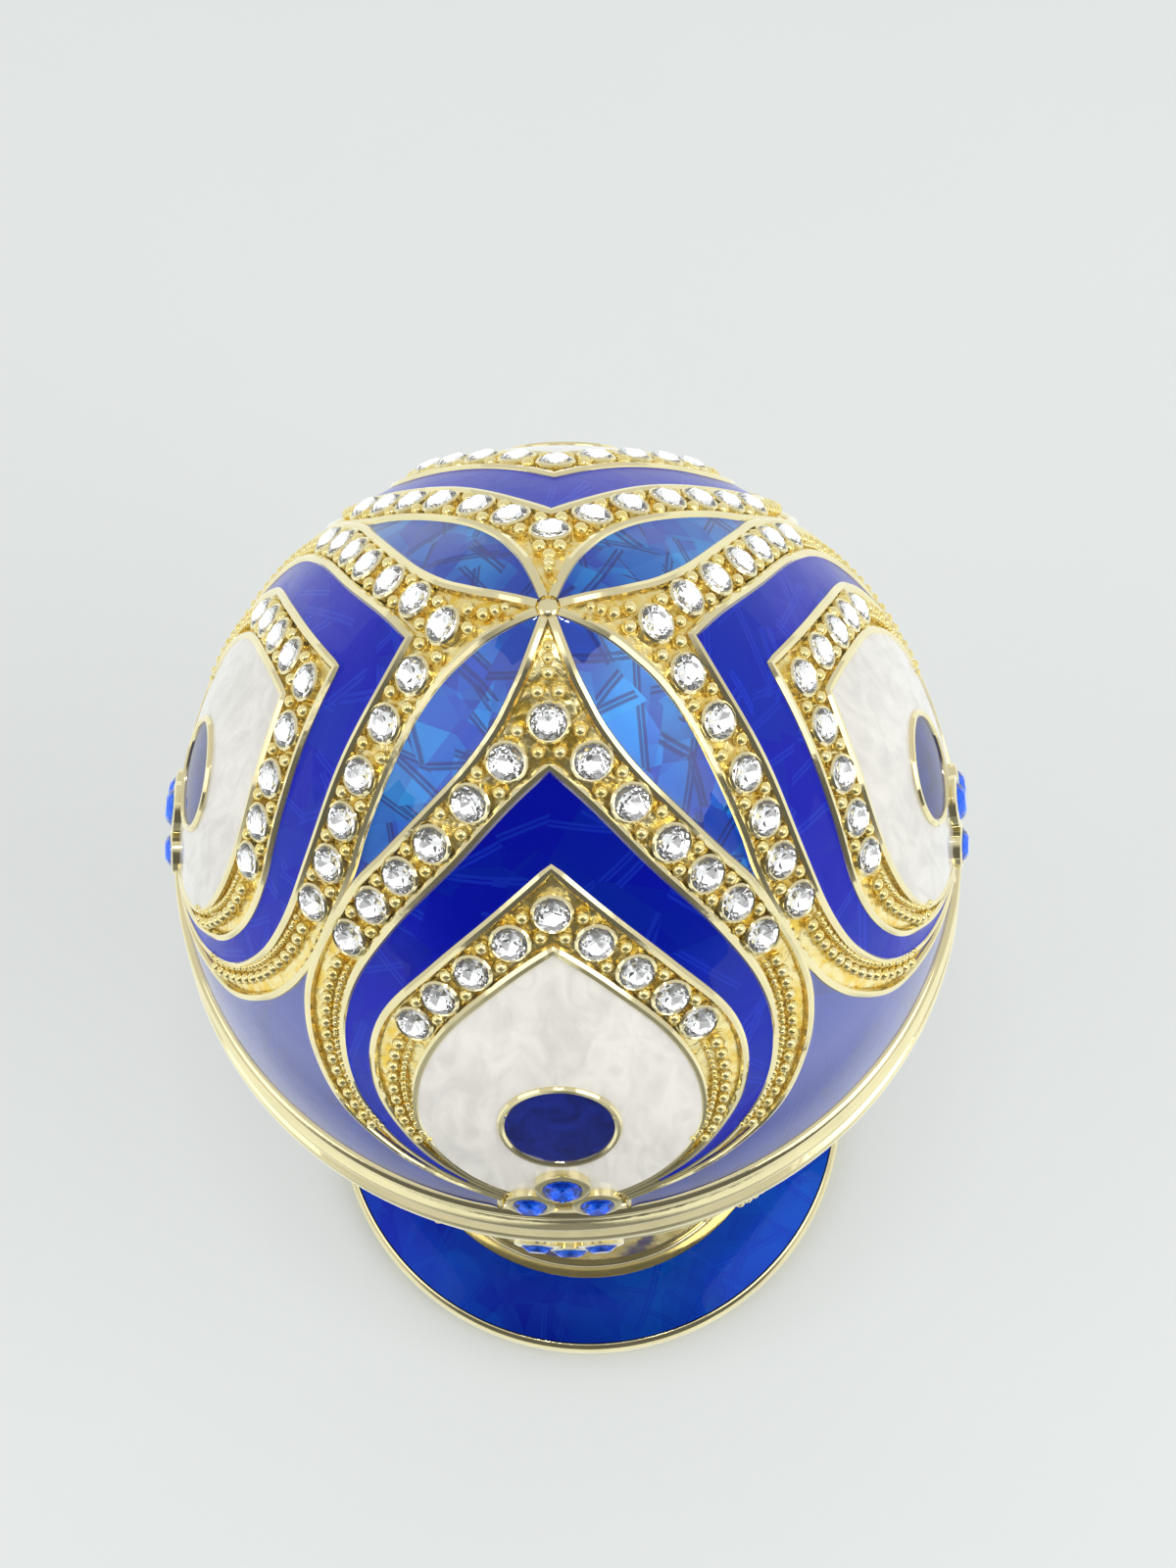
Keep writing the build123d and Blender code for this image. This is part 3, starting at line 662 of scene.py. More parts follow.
@dataclass
class Engraving:
    """How the ground under an enamel is cut, and how the enamel over it shines."""
    lines: tuple  # colour of the cuts
    cell: float = 8.5 * MM  # size of the patches that have one cut each
    slope: float = 0.06  # tilt of the facets beside a cut
    groove: float = 0.02  # depth of a cut's two lines, in millimetres
    coat: float = 0.5
    coat_index: float = 1.5
    cloud_scale: float = 75.0
    contrast: float = 0.16  # how much the facets differ in tone
    dark_ends: tuple = ()  # pairs of heights from the belt between which the tone rises


def engraved_enamel(nodes, dark, light, cut):
    """Transparent enamel over a ground with random straight cuts, each a pair of fine lines."""
    line_offset, line_start, line_end = 0.16 * MM, 0.05 * MM, 0.13 * MM
    end_shade, worn_share = 0.26, 0.22
    relief = nodes.math("MULTIPLY", nodes.noise(500.0, 4.0), 0.08)
    clouds = nodes.noise(cut.cloud_scale, 1.0)
    evened = 3 * (Engraving.contrast - cut.contrast)  # keeps the mean tone of the three cuts
    tone = nodes.math("MULTIPLY_ADD", clouds, 0.7, evened)
    if cut.dark_ends:
        height = nodes.add("ShaderNodeSeparateXYZ", nodes.place)["Z"]
        height = nodes.math("ABSOLUTE", nodes.math("SUBTRACT", height, BELT.z))
        for edge, inside in cut.dark_ends:
            tone = nodes.math("SUBTRACT", tone, nodes.span(height, edge, inside, end_shade, 0.0))
    groove = 1.0
    for share, shift in ((1.0, 0.003), (0.8, 0.017), (0.62, 0.031)):
        distance, side, chance = cuts(nodes, cut.cell * share, shift)
        relief = nodes.math("MULTIPLY_ADD", distance, cut.slope / MM, relief)
        tone = nodes.math("MULTIPLY_ADD", nodes.math("ADD", side, chance), cut.contrast, tone)
        beside_cut = nodes.math("SUBTRACT", nodes.math("ABSOLUTE", distance), line_offset)
        line = nodes.span(nodes.math("ABSOLUTE", beside_cut), line_start, line_end)
        groove = nodes.math("MULTIPLY", groove, line)
    relief = nodes.math("MULTIPLY_ADD", groove, cut.groove, relief)
    worn = nodes.span(groove, 0.0, 1.0, worn_share, 1.0)
    facets = nodes.ramp(tone, dark, light, 0.66, 1.05)
    nodes.surface(
        Base_Color=nodes.mix(worn, cut.lines, facets), Metallic=0.45, Roughness=0.3,
        Specular_IOR_Level=0.0, Normal=nodes.bump(relief, 1.0 * MM, 0.8),
        Coat_Weight=cut.coat, Coat_Roughness=0.02, Coat_IOR=cut.coat_index,
        Coat_Normal=nodes.bump(nodes.noise(160.0, 2.0), 0.10 * MM, 0.5))


def petal_enamel(nodes):
    look = sizes("finishes")
    cut = Engraving((0.003, 0.018, 0.19), cell=7.2 * MM, slope=0.12, groove=0.06, coat=0.9,
                    coat_index=1.6, contrast=0.11,
                    dark_ends=((30.0 * MM, 36.0 * MM), (44.5 * MM, 42.0 * MM)))
    engraved_enamel(nodes, look.azure, look.azure_light, cut)


def arch_enamel(nodes):
    look = sizes("finishes")
    engraved_enamel(nodes, look.deep_blue, look.deep_light, Engraving((0.008, 0.035, 0.55)))


def foot_enamel(nodes):
    dark = shade(sizes("finishes").deep_blue, 0.7)
    cut = Engraving((0.003, 0.035, 0.39), cell=10.0 * MM, slope=0.02, groove=0.004, coat=0.15,
                    cloud_scale=42.0, contrast=0.04)
    engraved_enamel(nodes, dark, (0.003, 0.07, 0.44), cut)


def field_enamel(nodes):
    blue = sizes("finishes").field_blue
    cut = Engraving((0.02, 0.045, 0.38), cell=12.0 * MM, slope=0.03, groove=0.01, coat=1.0,
                    coat_index=2.1)
    engraved_enamel(nodes, blue, shade(blue, 1.3), cut)


def dot_enamel(nodes):
    navy = sizes("finishes").navy
    cloud = nodes.noise(420.0, 3.0, 1.2)
    nodes.surface(
        Base_Color=nodes.ramp(cloud, shade(navy, 0.6), shade(navy, 1.35)),
        Roughness=0.4, Metallic=0.2, Specular_IOR_Level=0.0,
        Normal=nodes.bump(cloud, 0.2 * MM, 0.5),
        Coat_Weight=0.85, Coat_Roughness=0.03, Coat_IOR=1.5)


def pearl_enamel(nodes):
    pearl = sizes("finishes").pearl
    stretched = nodes.add("ShaderNodeMapping", Vector=nodes.place, Scale=(1.0, 1.0, 0.3),
                          Rotation=(0.3, 0.5, 0.0))["Vector"]
    swirl = nodes.noise(430.0, 4.0, 1.6, stretched)
    veil = nodes.math("MULTIPLY", nodes.noise(120.0, 2.0, 1.2), 0.4)
    tone = nodes.math("MULTIPLY_ADD", swirl, 0.6, veil)
    light = tuple(min(channel * 1.1, 0.95) for channel in pearl)
    nodes.surface(
        Base_Color=nodes.ramp(tone, shade(pearl, 0.90), light, 0.38, 0.62),
        Roughness=nodes.rough(swirl, 0.42, 0.25), Specular_IOR_Level=0.2,
        Normal=nodes.bump(swirl, 0.10 * MM, 0.3),
        Coat_Weight=0.8, Coat_Roughness=0.04, Coat_IOR=1.5)


def cut_glass(nodes, colour):
    haze = nodes.noise(1200.0, 2.0)
    nodes.surface(
        Base_Color=nodes.ramp(haze, shade(colour, 0.97), colour),
        Roughness=nodes.rough(haze, 0.0, 0.015), IOR=1.56, Transmission_Weight=1.0)


def foil(nodes, colour):
    nodes.surface(
        Metallic=0.9,
        Base_Color=nodes.ramp(nodes.noise(900.0, 2.0), shade(colour, 0.9), colour),
        Roughness=nodes.rough(nodes.noise(1500.0, 2.0), 0.02, 0.07))


def plated_steel(nodes):
    steel = sizes("finishes").steel
    brushed = nodes.noise(1400.0, 4.0)
    nodes.surface(
        Metallic=1.0, Base_Color=nodes.ramp(brushed, shade(steel, 0.8), steel),
        Roughness=nodes.rough(brushed, 0.2, 0.35))


def felt_cloth(nodes):
    felt = sizes("finishes").felt
    fibres = nodes.noise(2600.0, 6.0, 1.5)
    nodes.surface(
        Base_Color=nodes.ramp(fibres, shade(felt, 0.7), shade(felt, 1.6)),
        Roughness=0.95, Normal=nodes.bump(fibres, 0.25 * MM, 0.9),
        Sheen_Weight=0.6, Sheen_Roughness=0.5)


def rim_profile(half):
    """Half section of the rim at the belt, from the parting plane outwards."""
    egg, rim = sizes("egg_sizes"), sizes("rim_sizes")
    start = BELT.z + half.side * (egg.parting_gap / 2 + 0.06 * MM)
    edge = egg.belt_radius + rim.proud - rim.inset
    if half.side > 0:
        cove = egg.belt_radius - rim.cove_depth
        roll, top = BELT.z + rim.lid_roll, BELT.z + rim.lid_height
        wire = top - rim.wire_height
        outside = (
            bowed((edge, start), (edge, roll), rim.inset)
            + bowed((edge, roll), (edge, wire), -rim.inset)[1:]
            + bowed((edge, wire), (cove, top), rim.inset * 0.8)[1:])
    else:
        low = BELT.z - rim.base_height
        outside = bowed((edge, start), (edge - rim.inset, low), rim.inset + 0.06 * MM)
        # The deep middle of this hollow is turned outwards, so a fine groove stays on each side.
        outside = [Vector((2 * edge - point.x, point.y)) if point.x < edge - rim.inset else point
                   for point in outside]
    inner = egg.belt_radius - egg.band_floor - 0.4 * MM
    return outside + [(inner, outside[-1].y), (inner, outside[0].y)]


def shell_profile(half):
    """Half section of the hollow shell, with the screw's boss in the base."""
    egg = sizes("egg_sizes")
    start = egg.parting_gap / 2 + 0.03 * MM
    belt = BELT.z + half.side * start
    crest = [(egg.belt_radius - egg.band_floor, belt)] + half.section(-egg.band_floor, start, 30)
    inside = [(egg.belt_radius - egg.shell_wall, belt)] + half.section(-egg.shell_wall, start, 30)
    if half.side < 0:
        bore = sizes("stand_sizes").screw_bore - 0.25 * MM
        boss, bevel = 4.5 * MM, 0.4 * MM
        boss_top = inside[-1][1] + 5.0 * MM
        crest = [point for point in crest if point[0] > bore]
        inside = [point for point in inside if point[0] > boss]
        crest += [(bore, crest[-1][1]), (bore, boss_top)]
        inside += [(boss, inside[-1][1]), (boss, boss_top - bevel), (boss - bevel, boss_top)]
    return crest + inside[::-1]


def model_shells():
    for half in halves():
        bm = spun(shell_profile(half), 160)
        for face in bm.faces:
            middle = face.calc_center_median() - BELT
            depth = (half.land(middle)[0] - BELT).length - middle.length
            face.material_index = 0 if depth < sizes("egg_sizes").shell_wall / 2 else 1
        materials = [finish(cast_gold), finish(polished_gold)]
        piece(f"{half.name}_cup", bm, half.name, materials, [f"{half.name}_shell"])
        gold_piece(f"{half.name}_rim", spun(rim_profile(half), 192), half.name)


def model_lip():
    """The lip in the base's mouth that guides the lid."""
    egg, rim = sizes("egg_sizes"), sizes("rim_sizes")
    mouth = egg.belt_radius - egg.shell_wall
    root, crown = mouth + 0.2 * MM, 0.3 * MM
    outer = mouth - rim.lip_gap
    inner = outer - rim.lip_wall
    low, step = BELT.z - rim.lip_root, BELT.z - egg.parting_gap / 2 - 0.08 * MM
    high = BELT.z + rim.lip_height - crown
    profile = [(root, low), (root, step), (outer, step)]
    profile += bowed((outer, high), (inner, high), -crown, 8) + [(inner, low)]
    gold_piece("base_lip", spun(profile, 160), "base")


def model_walls():
    cell, ring_steps = sizes("cell_sizes"), 72
    for half in halves():
        def thickness(point):
            """The walls are thinner beside the belt, as a share of their radius."""
            climb = abs(point.z - BELT.z) / half.height
            return 0.62 + min(max(climb - 0.2, 0.0), 0.4)

        side = wall_path(half, ARCH_WALL_SHARES, 80)
        azimuth, end = ARCH_WALL_SHARES[-1]
        foot = [half.drawn(azimuth, share)
                for share in (end, (end + half.rim_share) / 2, half.rim_share)]
        paths = [side, flipped(side), foot, flipped(foot)]
        for shares in (BAND_WALL_SHARES, INNER_WALL_SHARES, DROP_WALL_SHARES):
            paths.append(over_top(wall_path(half, shares, 70)))
        paths = [landed(half, path, -cell.wall_sink) for path in paths]
        bm = wires(paths, cell.wall_radius, thickness)
        seat = half.seat(half.drawn(0.0, DOT_SHARE))
        ring = []
        for step in range(ring_steps + 1):
            turned = Matrix.Rotation(step * 2 * pi / ring_steps, 3, "Z")
            flat = turned @ Vector((cell.dot_radius + cell.dot_wall / 2, 0.0, 0.0))
            ring.append(half.land(seat @ flat - BELT, -cell.wall_sink / 2)[0])
        stamp(bm, wires([ring], cell.dot_wall * 0.6), [Matrix()])
        bmesh.ops.recalc_face_normals(bm, faces=bm.faces[:])
        gold_piece(f"{half.name}_walls", all_round(bm), half.name)


def model_nub():
    """The nub on top, where the petals' walls meet."""
    radius, rise = sizes("cell_sizes").nub_radius, 0.22 * MM
    top = BELT.z + halves()[0].height
    profile = bowed((radius, top - 0.4 * MM), (0.0, top + rise), rise)
    profile += [(0.0, top - 0.6 * MM), (radius, top - 0.6 * MM)]
    gold_piece("lid_nub", spun(profile, 48), "lid")


def enamel_cell(half, left, right, columns, rows, between=False):
    """A closed panel of enamel between two drawn edges, slightly hollow between its walls."""
    cell = sizes("cell_sizes")
    bm = bmesh.new()
    bmesh.ops.create_grid(bm, x_segments=columns, y_segments=rows, size=0.5)
    for vert in bm.verts:
        across, along = vert.co.x + 0.5, vert.co.y + 0.5
        start, end = at(left, along), at(right, along)
        width = (end - start).length * sizes("egg_sizes").belt_radius
        edge = min(across, 1 - across) * width
        climb = max(1 - edge / cell.enamel_creep, 0.0) ** 2
        lift = cell.enamel_rise * climb - cell.enamel_sink
        vert.co = half.land(half.ray(start.lerp(end, across)), lift)[0]
    bmesh.ops.remove_doubles(bm, verts=bm.verts[:], dist=0.01 * MM)
    bmesh.ops.dissolve_degenerate(bm, edges=bm.edges[:], dist=0.002 * MM)
    bmesh.ops.recalc_face_normals(bm, faces=bm.faces[:])
    bm.faces.ensure_lookup_table()
    first = bm.faces[len(bm.faces) // 2]
    if first.normal.dot(first.calc_center_median() - BELT) < 0:
        bmesh.ops.reverse_faces(bm, faces=bm.faces[:])
    bmesh.ops.solidify(bm, geom=bm.faces[:], thickness=cell.enamel_depth)
    return all_round(bm, between)


def lay_enamel(half, bm, name, node, maker):
    """The enamel in all cells of one kind, in place of its CAD node."""
    piece(f"{half.name}_{name}", bm, half.name, [finish(maker)], [f"{half.name}_{node}"])


def model_petals():
    for half in halves():
        wall = beside(ARCH_WALL_SHARES[1:LENS_COUNT])
        edge = wall_path(half, [(0.0, POLE_SHARE), *wall, (0.0, PETAL_TIP_SHARE)], 64)
        bm = enamel_cell(half, flipped(edge), edge, 16, 64, between=True)
        lay_enamel(half, bm, "petals", "petal_enamel", petal_enamel)


def model_chevrons():
    for half in halves():
        outer, inner = (over_top(wall_path(half, shares[:-1], 72))
                        for shares in (BAND_WALL_SHARES, INNER_WALL_SHARES))
        bm = enamel_cell(half, outer, inner, 12, 144)
        lay_enamel(half, bm, "chevrons", "chevron_enamel", arch_enamel)


def model_spandrels():
    for half in halves():
        wall = beside(ARCH_WALL_SHARES[SPANDREL_START:])
        side = wall_path(half, [(0.0, SPANDREL_TIP_SHARE), *wall], 60)
        corner = half.drawn(1 - ARCH_WALL_SHARES[-1][0], half.rim_share)
        edge = side + [side[-1].lerp(corner, step / 8) for step in range(1, 9)]
        bm = enamel_cell(half, flipped(edge), edge, 40, 68, between=True)
        lay_enamel(half, bm, "spandrels", "spandrel_enamel", field_enamel)


def model_drops():
    for half in halves():
        edge = wall_path(half, DROP_WALL_SHARES, 60)
        bm = enamel_cell(half, flipped(edge), edge, 32, 60)
        lay_enamel(half, bm, "drops", "pearl_enamel", pearl_enamel)


def model_dots():
    cell = sizes("cell_sizes")
    low = -cell.enamel_depth
    reach = cell.dot_radius + cell.dot_wall / 2
    rings = [(cell.dot_radius * (1 - step / 10), 0.0) for step in range(11)]
    for half in halves():
        bm = spun([(reach, low), (reach, 0.0)] + rings + [(0.0, low)], 48)
        seat = half.seat(half.drawn(0.0, DOT_SHARE))
        for vert in bm.verts:
            lift = vert.co.z - cell.enamel_sink + cell.enamel_rise / 2
            flat = Vector((vert.co.x, vert.co.y, 0.0))
            vert.co = half.land(seat @ flat - BELT, lift)[0]
        bmesh.ops.recalc_face_normals(bm, faces=bm.faces[:])
        lay_enamel(half, all_round(bm), "dots", "dot_enamel", dot_enamel)


def cut_stone(size):
    """A round stone with table, stars, kites and girdle facets over a pointed foiled back."""
    bm = bmesh.new()
    for count, reach, turn, height in FACET_RINGS:
        for index in range(count):
            angle = (index + turn) * 2 * pi / count
            across = reach * size
            bm.verts.new((across * cos(angle), across * sin(angle), height * size))
    bmesh.ops.convex_hull(bm, input=bm.verts[:])
    bmesh.ops.dissolve_limit(bm, angle_limit=radians(1), verts=bm.verts[:], edges=bm.edges[:])
    for face in bm.faces:
        face.material_index = 1 if face.calc_center_median().z < 0 else 0
    return bm


def collet(inner, outer, low, high, sides):
    """A ring with a rounded rim, standing on its seat."""
    rim = [(outer, high - 0.15 * MM), ((inner + outer) / 2, high), (inner, high - 0.1 * MM)]
    return spun([(outer, low), *rim, (inner, low)], sides, closed=False)


def stone_line(half, shares):
    """Drawn places of a line of stones over the top of an arch."""
    return over_top(drawn_places(half, shares))


def set_stones(half, colour, seats, materials):
    """All stones of one colour, from the seats of each size."""
    bm = bmesh.new()
    for size, places in seats.items():
        stamp(bm, cut_stone(size), places)
    piece(f"{half.name}_{colour}_gems", all_round(bm), half.name, materials,
          [f"{half.name}_{colour}_stones"], radians(4))


def model_clear_stones():
    stone, look = sizes("stone_sizes"), sizes("finishes")
    materials = [finish(cut_glass, look.crystal, name="clear glass"),
                 finish(foil, look.silver, name="silver foil")]
    radius = stone.clear_size / 2
    low = -sizes("egg_sizes").band_floor - 0.05 * MM - stone.girdle_lift
    for half in halves():
        places = []
        for shares in (OUTER_STONE_SHARES, INNER_STONE_SHARES):
            for index, flat in enumerate(stone_line(half, shares)):
                turned = Matrix.Rotation(index * 2.4, 4, "Z")  # no two neighbours alike
                places.append(half.seat(flat) @ moved(z=stone.girdle_lift) @ turned)
        set_stones(half, "clear", {stone.clear_size: places}, materials)
        collets = bmesh.new()
        ring = collet(radius - 0.06 * MM, radius + stone.collet_wall, low, 0.17 * MM, 16)
        stamp(collets, ring, places)
        gold_piece(f"{half.name}_collets", all_round(collets), half.name)


def trefoil(half):
    """Seat and size of each blue stone on one arch."""
    stone = sizes("stone_sizes")
    azimuth, share = SMALL_BLUE_SHARES
    places = ((0.0, LARGE_BLUE_SHARE, stone.large_blue_size),
              (-azimuth, share, stone.small_blue_size), (azimuth, share, stone.small_blue_size))
    return [(half.seat(half.drawn(around, up)), size) for around, up, size in places]


def model_blue_stones():
    stone, look = sizes("stone_sizes"), sizes("finishes")
    materials = [finish(cut_glass, look.blue_glass, name="blue glass"),
                 finish(foil, look.sapphire, name="blue foil")]
    lift = moved(z=stone.collet_rise - 0.06 * MM)
    for half in halves():
        seats, bezels = {}, bmesh.new()
        for place, size in trefoil(half):
            seats.setdefault(size, []).append(place @ lift)
            ring = collet(size / 2 - 0.08 * MM, size / 2 + stone.collet_rim, -1.0 * MM,
                          stone.collet_rise, 32)
            stamp(bezels, ring, [place])
        set_stones(half, "blue", seats, materials)
        gold_piece(f"{half.name}_bezels", all_round(bezels), half.name)


def string_places(half, shares):
    """Seats and sizes of the beads on both tails of a band, and of the milled edge beside them."""
    stone = sizes("stone_sizes")
    first_size, taper, milled_size, milled_step = 0.98, 0.14, 0.46, 0.25
    path = wall_path(half, shares, 200)
    points = landed(half, path, 0.0)
    places, walked, mark = [], 0.0, 0.0
    for index in range(1, len(points)):
        walked += (points[index] - points[index - 1]).length
        if walked < mark:
            continue
        size = first_size - taper * index / len(points)
        mark += stone.string_step * size
        pair = path[index - 1:index + 1]
        for side, (before, flat) in ((1, pair), (-1, flipped(pair))):
            seat = half.seat(flat, flat - before)
            places.append((seat, size))
            for step in (-milled_step, milled_step):
                offset = moved(side * stone.edge_bead, step * stone.string_step, 0.06 * MM)
                places.append((seat @ offset, milled_size))
    return places


def bead_places(half):
    """Seats of all the small beads on one arch, and their size as a share of a bead."""
    offset = sizes("stone_sizes").bead_offset
    places = []
    for shares in (OUTER_STONE_SHARES, INNER_STONE_SHARES):
        line = stone_line(half, shares)
        for before, after in zip(line, line[1:]):
            seat = half.seat(before.lerp(after, 0.5), after - before)
            places += [(seat @ moved(side * offset), 1.0) for side in (-1, 1)]
    top = half.seat(half.drawn(*OUTER_STONE_SHARES[0]))
    places += [(top @ moved(across * MM, along * MM), size) for across, along, size in TOP_BEADS]
    return places + string_places(half, OUTER_TAIL_SHARES) + string_places(half, INNER_TAIL_SHARES)


def model_beads():
    radius = sizes("stone_sizes").bead_radius
    sink = moved(z=0.55 * radius - sizes("egg_sizes").band_floor)
    for half in halves():
        bead, bm = bmesh.new(), bmesh.new()
        bmesh.ops.create_uvsphere(bead, u_segments=8, v_segments=6, radius=radius)
        stamp(bm, bead, [seat @ sink @ Matrix.Scale(size, 4) for seat, size in bead_places(half)])
        piece(f"{half.name}_beads", all_round(bm), half.name, [finish(bead_gold)])


def dress_metal():
    """The CAD nodes that keep their shapes get their metals."""
    nodes = {name: polished_gold for name in ("lid_hinge_leaf", "base_hinge_leaf", "hinge_pin")}
    nodes |= {name: plated_steel for name in ("lid_magnet", "base_magnet", "foot_screw")}
    for name, maker in nodes.items():
        materials = frame["nodes"][name].data.materials
        materials.clear()
        materials.append(finish(maker))


def model_stem():
    stand = sizes("stand_sizes")
    low, high = STEM_BOX[0].z, STEM_BOX[1].z
    cup, waist, foot = stand.cup_radius, stand.waist_radius, stand.stem_foot_radius
    under = high - stand.cup_edge
    middle = (low + high - stand.cup_edge / 2) / 2
    above, below = middle + stand.knop_height / 2, middle - stand.knop_height / 2
    profile = [(stand.screw_bore, high - 1.4 * MM)]
    profile += bowed((cup, high - 0.2 * MM), (cup, under), -stand.cup_edge, 10)
    profile += smooth_path([(cup, under), (waist * 1.08, (under + above) / 2),
                            (waist, above)], 16)[1:]
    profile += bowed((waist, above), (waist, below), waist - stand.knop_radius, 18)[1:]
    profile += smooth_path([(waist, below), (waist * 1.15, below - 3.2 * MM),
                            (foot, low + 0.6 * MM)], 16)[1:]
    profile += [(foot, low), (stand.screw_bore, low)]
    gold_piece("egg_stem", spun(profile, 96), "base", "stem")


def foot_floor(radius):
    """Height of the floor under the foot's enamel."""
    stand = sizes("stand_sizes")
    low = FOOT_BOX[0].z + stand.edge_height
    rise = stand.enamel_rise - stand.enamel_depth - low
    return low + (stand.enamel_edge - radius) * rise / (stand.enamel_edge - stand.collar_radius)


def model_foot():
    stand = sizes("stand_sizes")
    low, edge, top = FOOT_BOX[0].z, FOOT_BOX[1].x, FOOT_BOX[1].z
    hub, bore, collar, enamel = (
        stand.hub_radius, stand.screw_bore, stand.collar_radius, stand.enamel_edge)
    inside, ceiling = edge - stand.metal, PAD_BOX[1].z + 0.05 * MM
    head, head_seat = 3.9 * MM, 5.0 * MM  # the hole for the screw's head
    dish = (14.0 * MM, 5.7 * MM)  # a place on the hollow slope inside the collar
    rim = foot_floor(enamel)
    corners = [(inside, low), (edge, low), (edge, rim + 0.1 * MM),
               (enamel + 0.1 * MM, rim + stand.enamel_depth), (enamel, rim)]
    profile = rounded([*corners, (collar, foot_floor(collar))], 0.35 * MM)[:-CORNER_POINTS]
    profile += [(collar, foot_floor(collar))]
    profile += bowed((collar + 0.3 * MM, stand.enamel_rise - 0.3 * MM),
                     (collar - 1.4 * MM, stand.enamel_rise + 0.6 * MM), -1.0 * MM, 14)
    profile += smooth_path([(collar - 1.5 * MM, stand.enamel_rise + 0.2 * MM),
                            dish, (hub, top - 0.9 * MM)], 14)
    profile += [(hub - 0.2 * MM, top - 0.1 * MM), (hub - 0.7 * MM, top), (bore, top),
                (bore, head_seat), (head, head_seat), (head, ceiling), (inside, ceiling)]
    gold_piece("egg_foot", spun(profile, 176), "base", "foot")


def model_foot_ring():
    """The blue enamel around the foot."""
    stand = sizes("stand_sizes")
    outer, inner = stand.enamel_edge, stand.collar_radius + 0.4 * MM
    face = bowed((outer, foot_floor(outer) + stand.enamel_depth - 0.1 * MM),
                 (inner, foot_floor(inner) + stand.enamel_depth), 0.25 * MM, 16)
    back = [(radius, foot_floor(radius) - 0.1 * MM) for radius in (inner, outer)]
    piece("foot_ring", spun(face + back, 176), "base", [finish(foot_enamel)],
          ["foot_enamel"])


def model_pad():
    low, high, radius = PAD_BOX[0].z, PAD_BOX[1].z, PAD_BOX[1].x
    corners = ((0.0, low), (radius, low), (radius, high), (0.0, high))
    outside = rounded(corners, 0.25 * MM)[CORNER_POINTS:-CORNER_POINTS]
    bm = spun([(0.0, low), *outside, (0.0, high)], 128)
    piece("foot_felt", bm, "base", [finish(felt_cloth)], ["felt_pad"])


def area_lamp(name, place, size, power):
    """A round lamp that faces the belt."""
    data = bpy.data.lights.new(name, "AREA")
    data.shape = "DISK"
    data.size = size
    data.energy = power
    lamp = linked(name, data)
    lamp.location = place
    lamp.rotation_euler = (BELT - Vector(place)).to_track_quat("-Z", "Y").to_euler()


def light_world():
    """A white tent that is darker towards the front, and an even pale colour behind the object."""
    stage = sizes("stage_settings")
    world = bpy.data.worlds.new("tent")
    bpy.context.scene.world = world
    nodes = Nodes(world)
    heading = nodes.vector("MULTIPLY", nodes.coordinates["Generated"], (0.55, 1.0, 1.0))
    front = Vector((0.05, -0.90, 0.43)).normalized()
    dark_edge, dark_middle = 0.66, 0.92  # cosines of the angle from the front
    towards = nodes.vector("DOT_PRODUCT", nodes.vector("NORMALIZE", heading), front)
    tent = nodes.span(towards, dark_edge, dark_middle, stage.tent_light, stage.tent_dark,
                      "SMOOTHSTEP")
    refracted = nodes.math("MULTIPLY_ADD", tent, stage.refracted_tent, stage.stone_glow)
    ray = nodes.add("ShaderNodeLightPath")
    colour = tent
    for seen, other in (("Is Glossy Ray", nodes.math("MULTIPLY", tent, stage.mirrored_tent)),
                        ("Is Transmission Ray", refracted),
                        ("Is Diffuse Ray", (stage.tent_light,) * 3),
                        ("Is Camera Ray", sizes("finishes").floor)):
        colour = nodes.mix(ray[seen], colour, other)
    nodes.surface(Color=colour, Strength=1.0)


def floor_paper(nodes):
    """Pale paper that runs into the background far away, and is darker in front in reflections."""
    stage, colour = sizes("stage_settings"), sizes("finishes").floor
    front = stage.mirrored_front
    far = nodes.span(nodes.vector("LENGTH", nodes.place), 0.16, 0.60)
    place = nodes.add("ShaderNodeSeparateXYZ", nodes.place)
    aside = nodes.span(nodes.math("ABSOLUTE", place["X"]), 0.04, 0.12, front, 1.0)
    behind = nodes.span(place["Y"], -0.11, -0.03, front, 1.0)
    glossy = nodes.add("ShaderNodeLightPath")["Is Glossy Ray"]
    lost = nodes.math("SUBTRACT", 1.0, nodes.math("MAXIMUM", aside, behind))
    kept = nodes.math("SUBTRACT", 1.0, nodes.math("MULTIPLY", glossy, lost))
    near = nodes.math("MULTIPLY", nodes.math("SUBTRACT", 1.0, far), kept)
    paper = nodes.ramp(nodes.noise(40.0, 2.0), shade(colour, 0.995), colour)
    glow = nodes.math("MULTIPLY_ADD", glossy, stage.mirrored_floor, far)
    nodes.surface(
        Base_Color=nodes.mix(near, (0.0, 0.0, 0.0), paper), Roughness=0.9, Specular_IOR_Level=0.0,
        Emission_Color=colour, Emission_Strength=nodes.math("MULTIPLY", glow, kept))


def build_floor():
    bm = bmesh.new()
    bmesh.ops.create_grid(bm, x_segments=8, y_segments=8, size=1.5)
    mesh = bpy.data.meshes.new("floor")
    bm.to_mesh(mesh)
    bm.free()
    mesh.materials.append(finish(floor_paper))
    linked("floor", mesh)


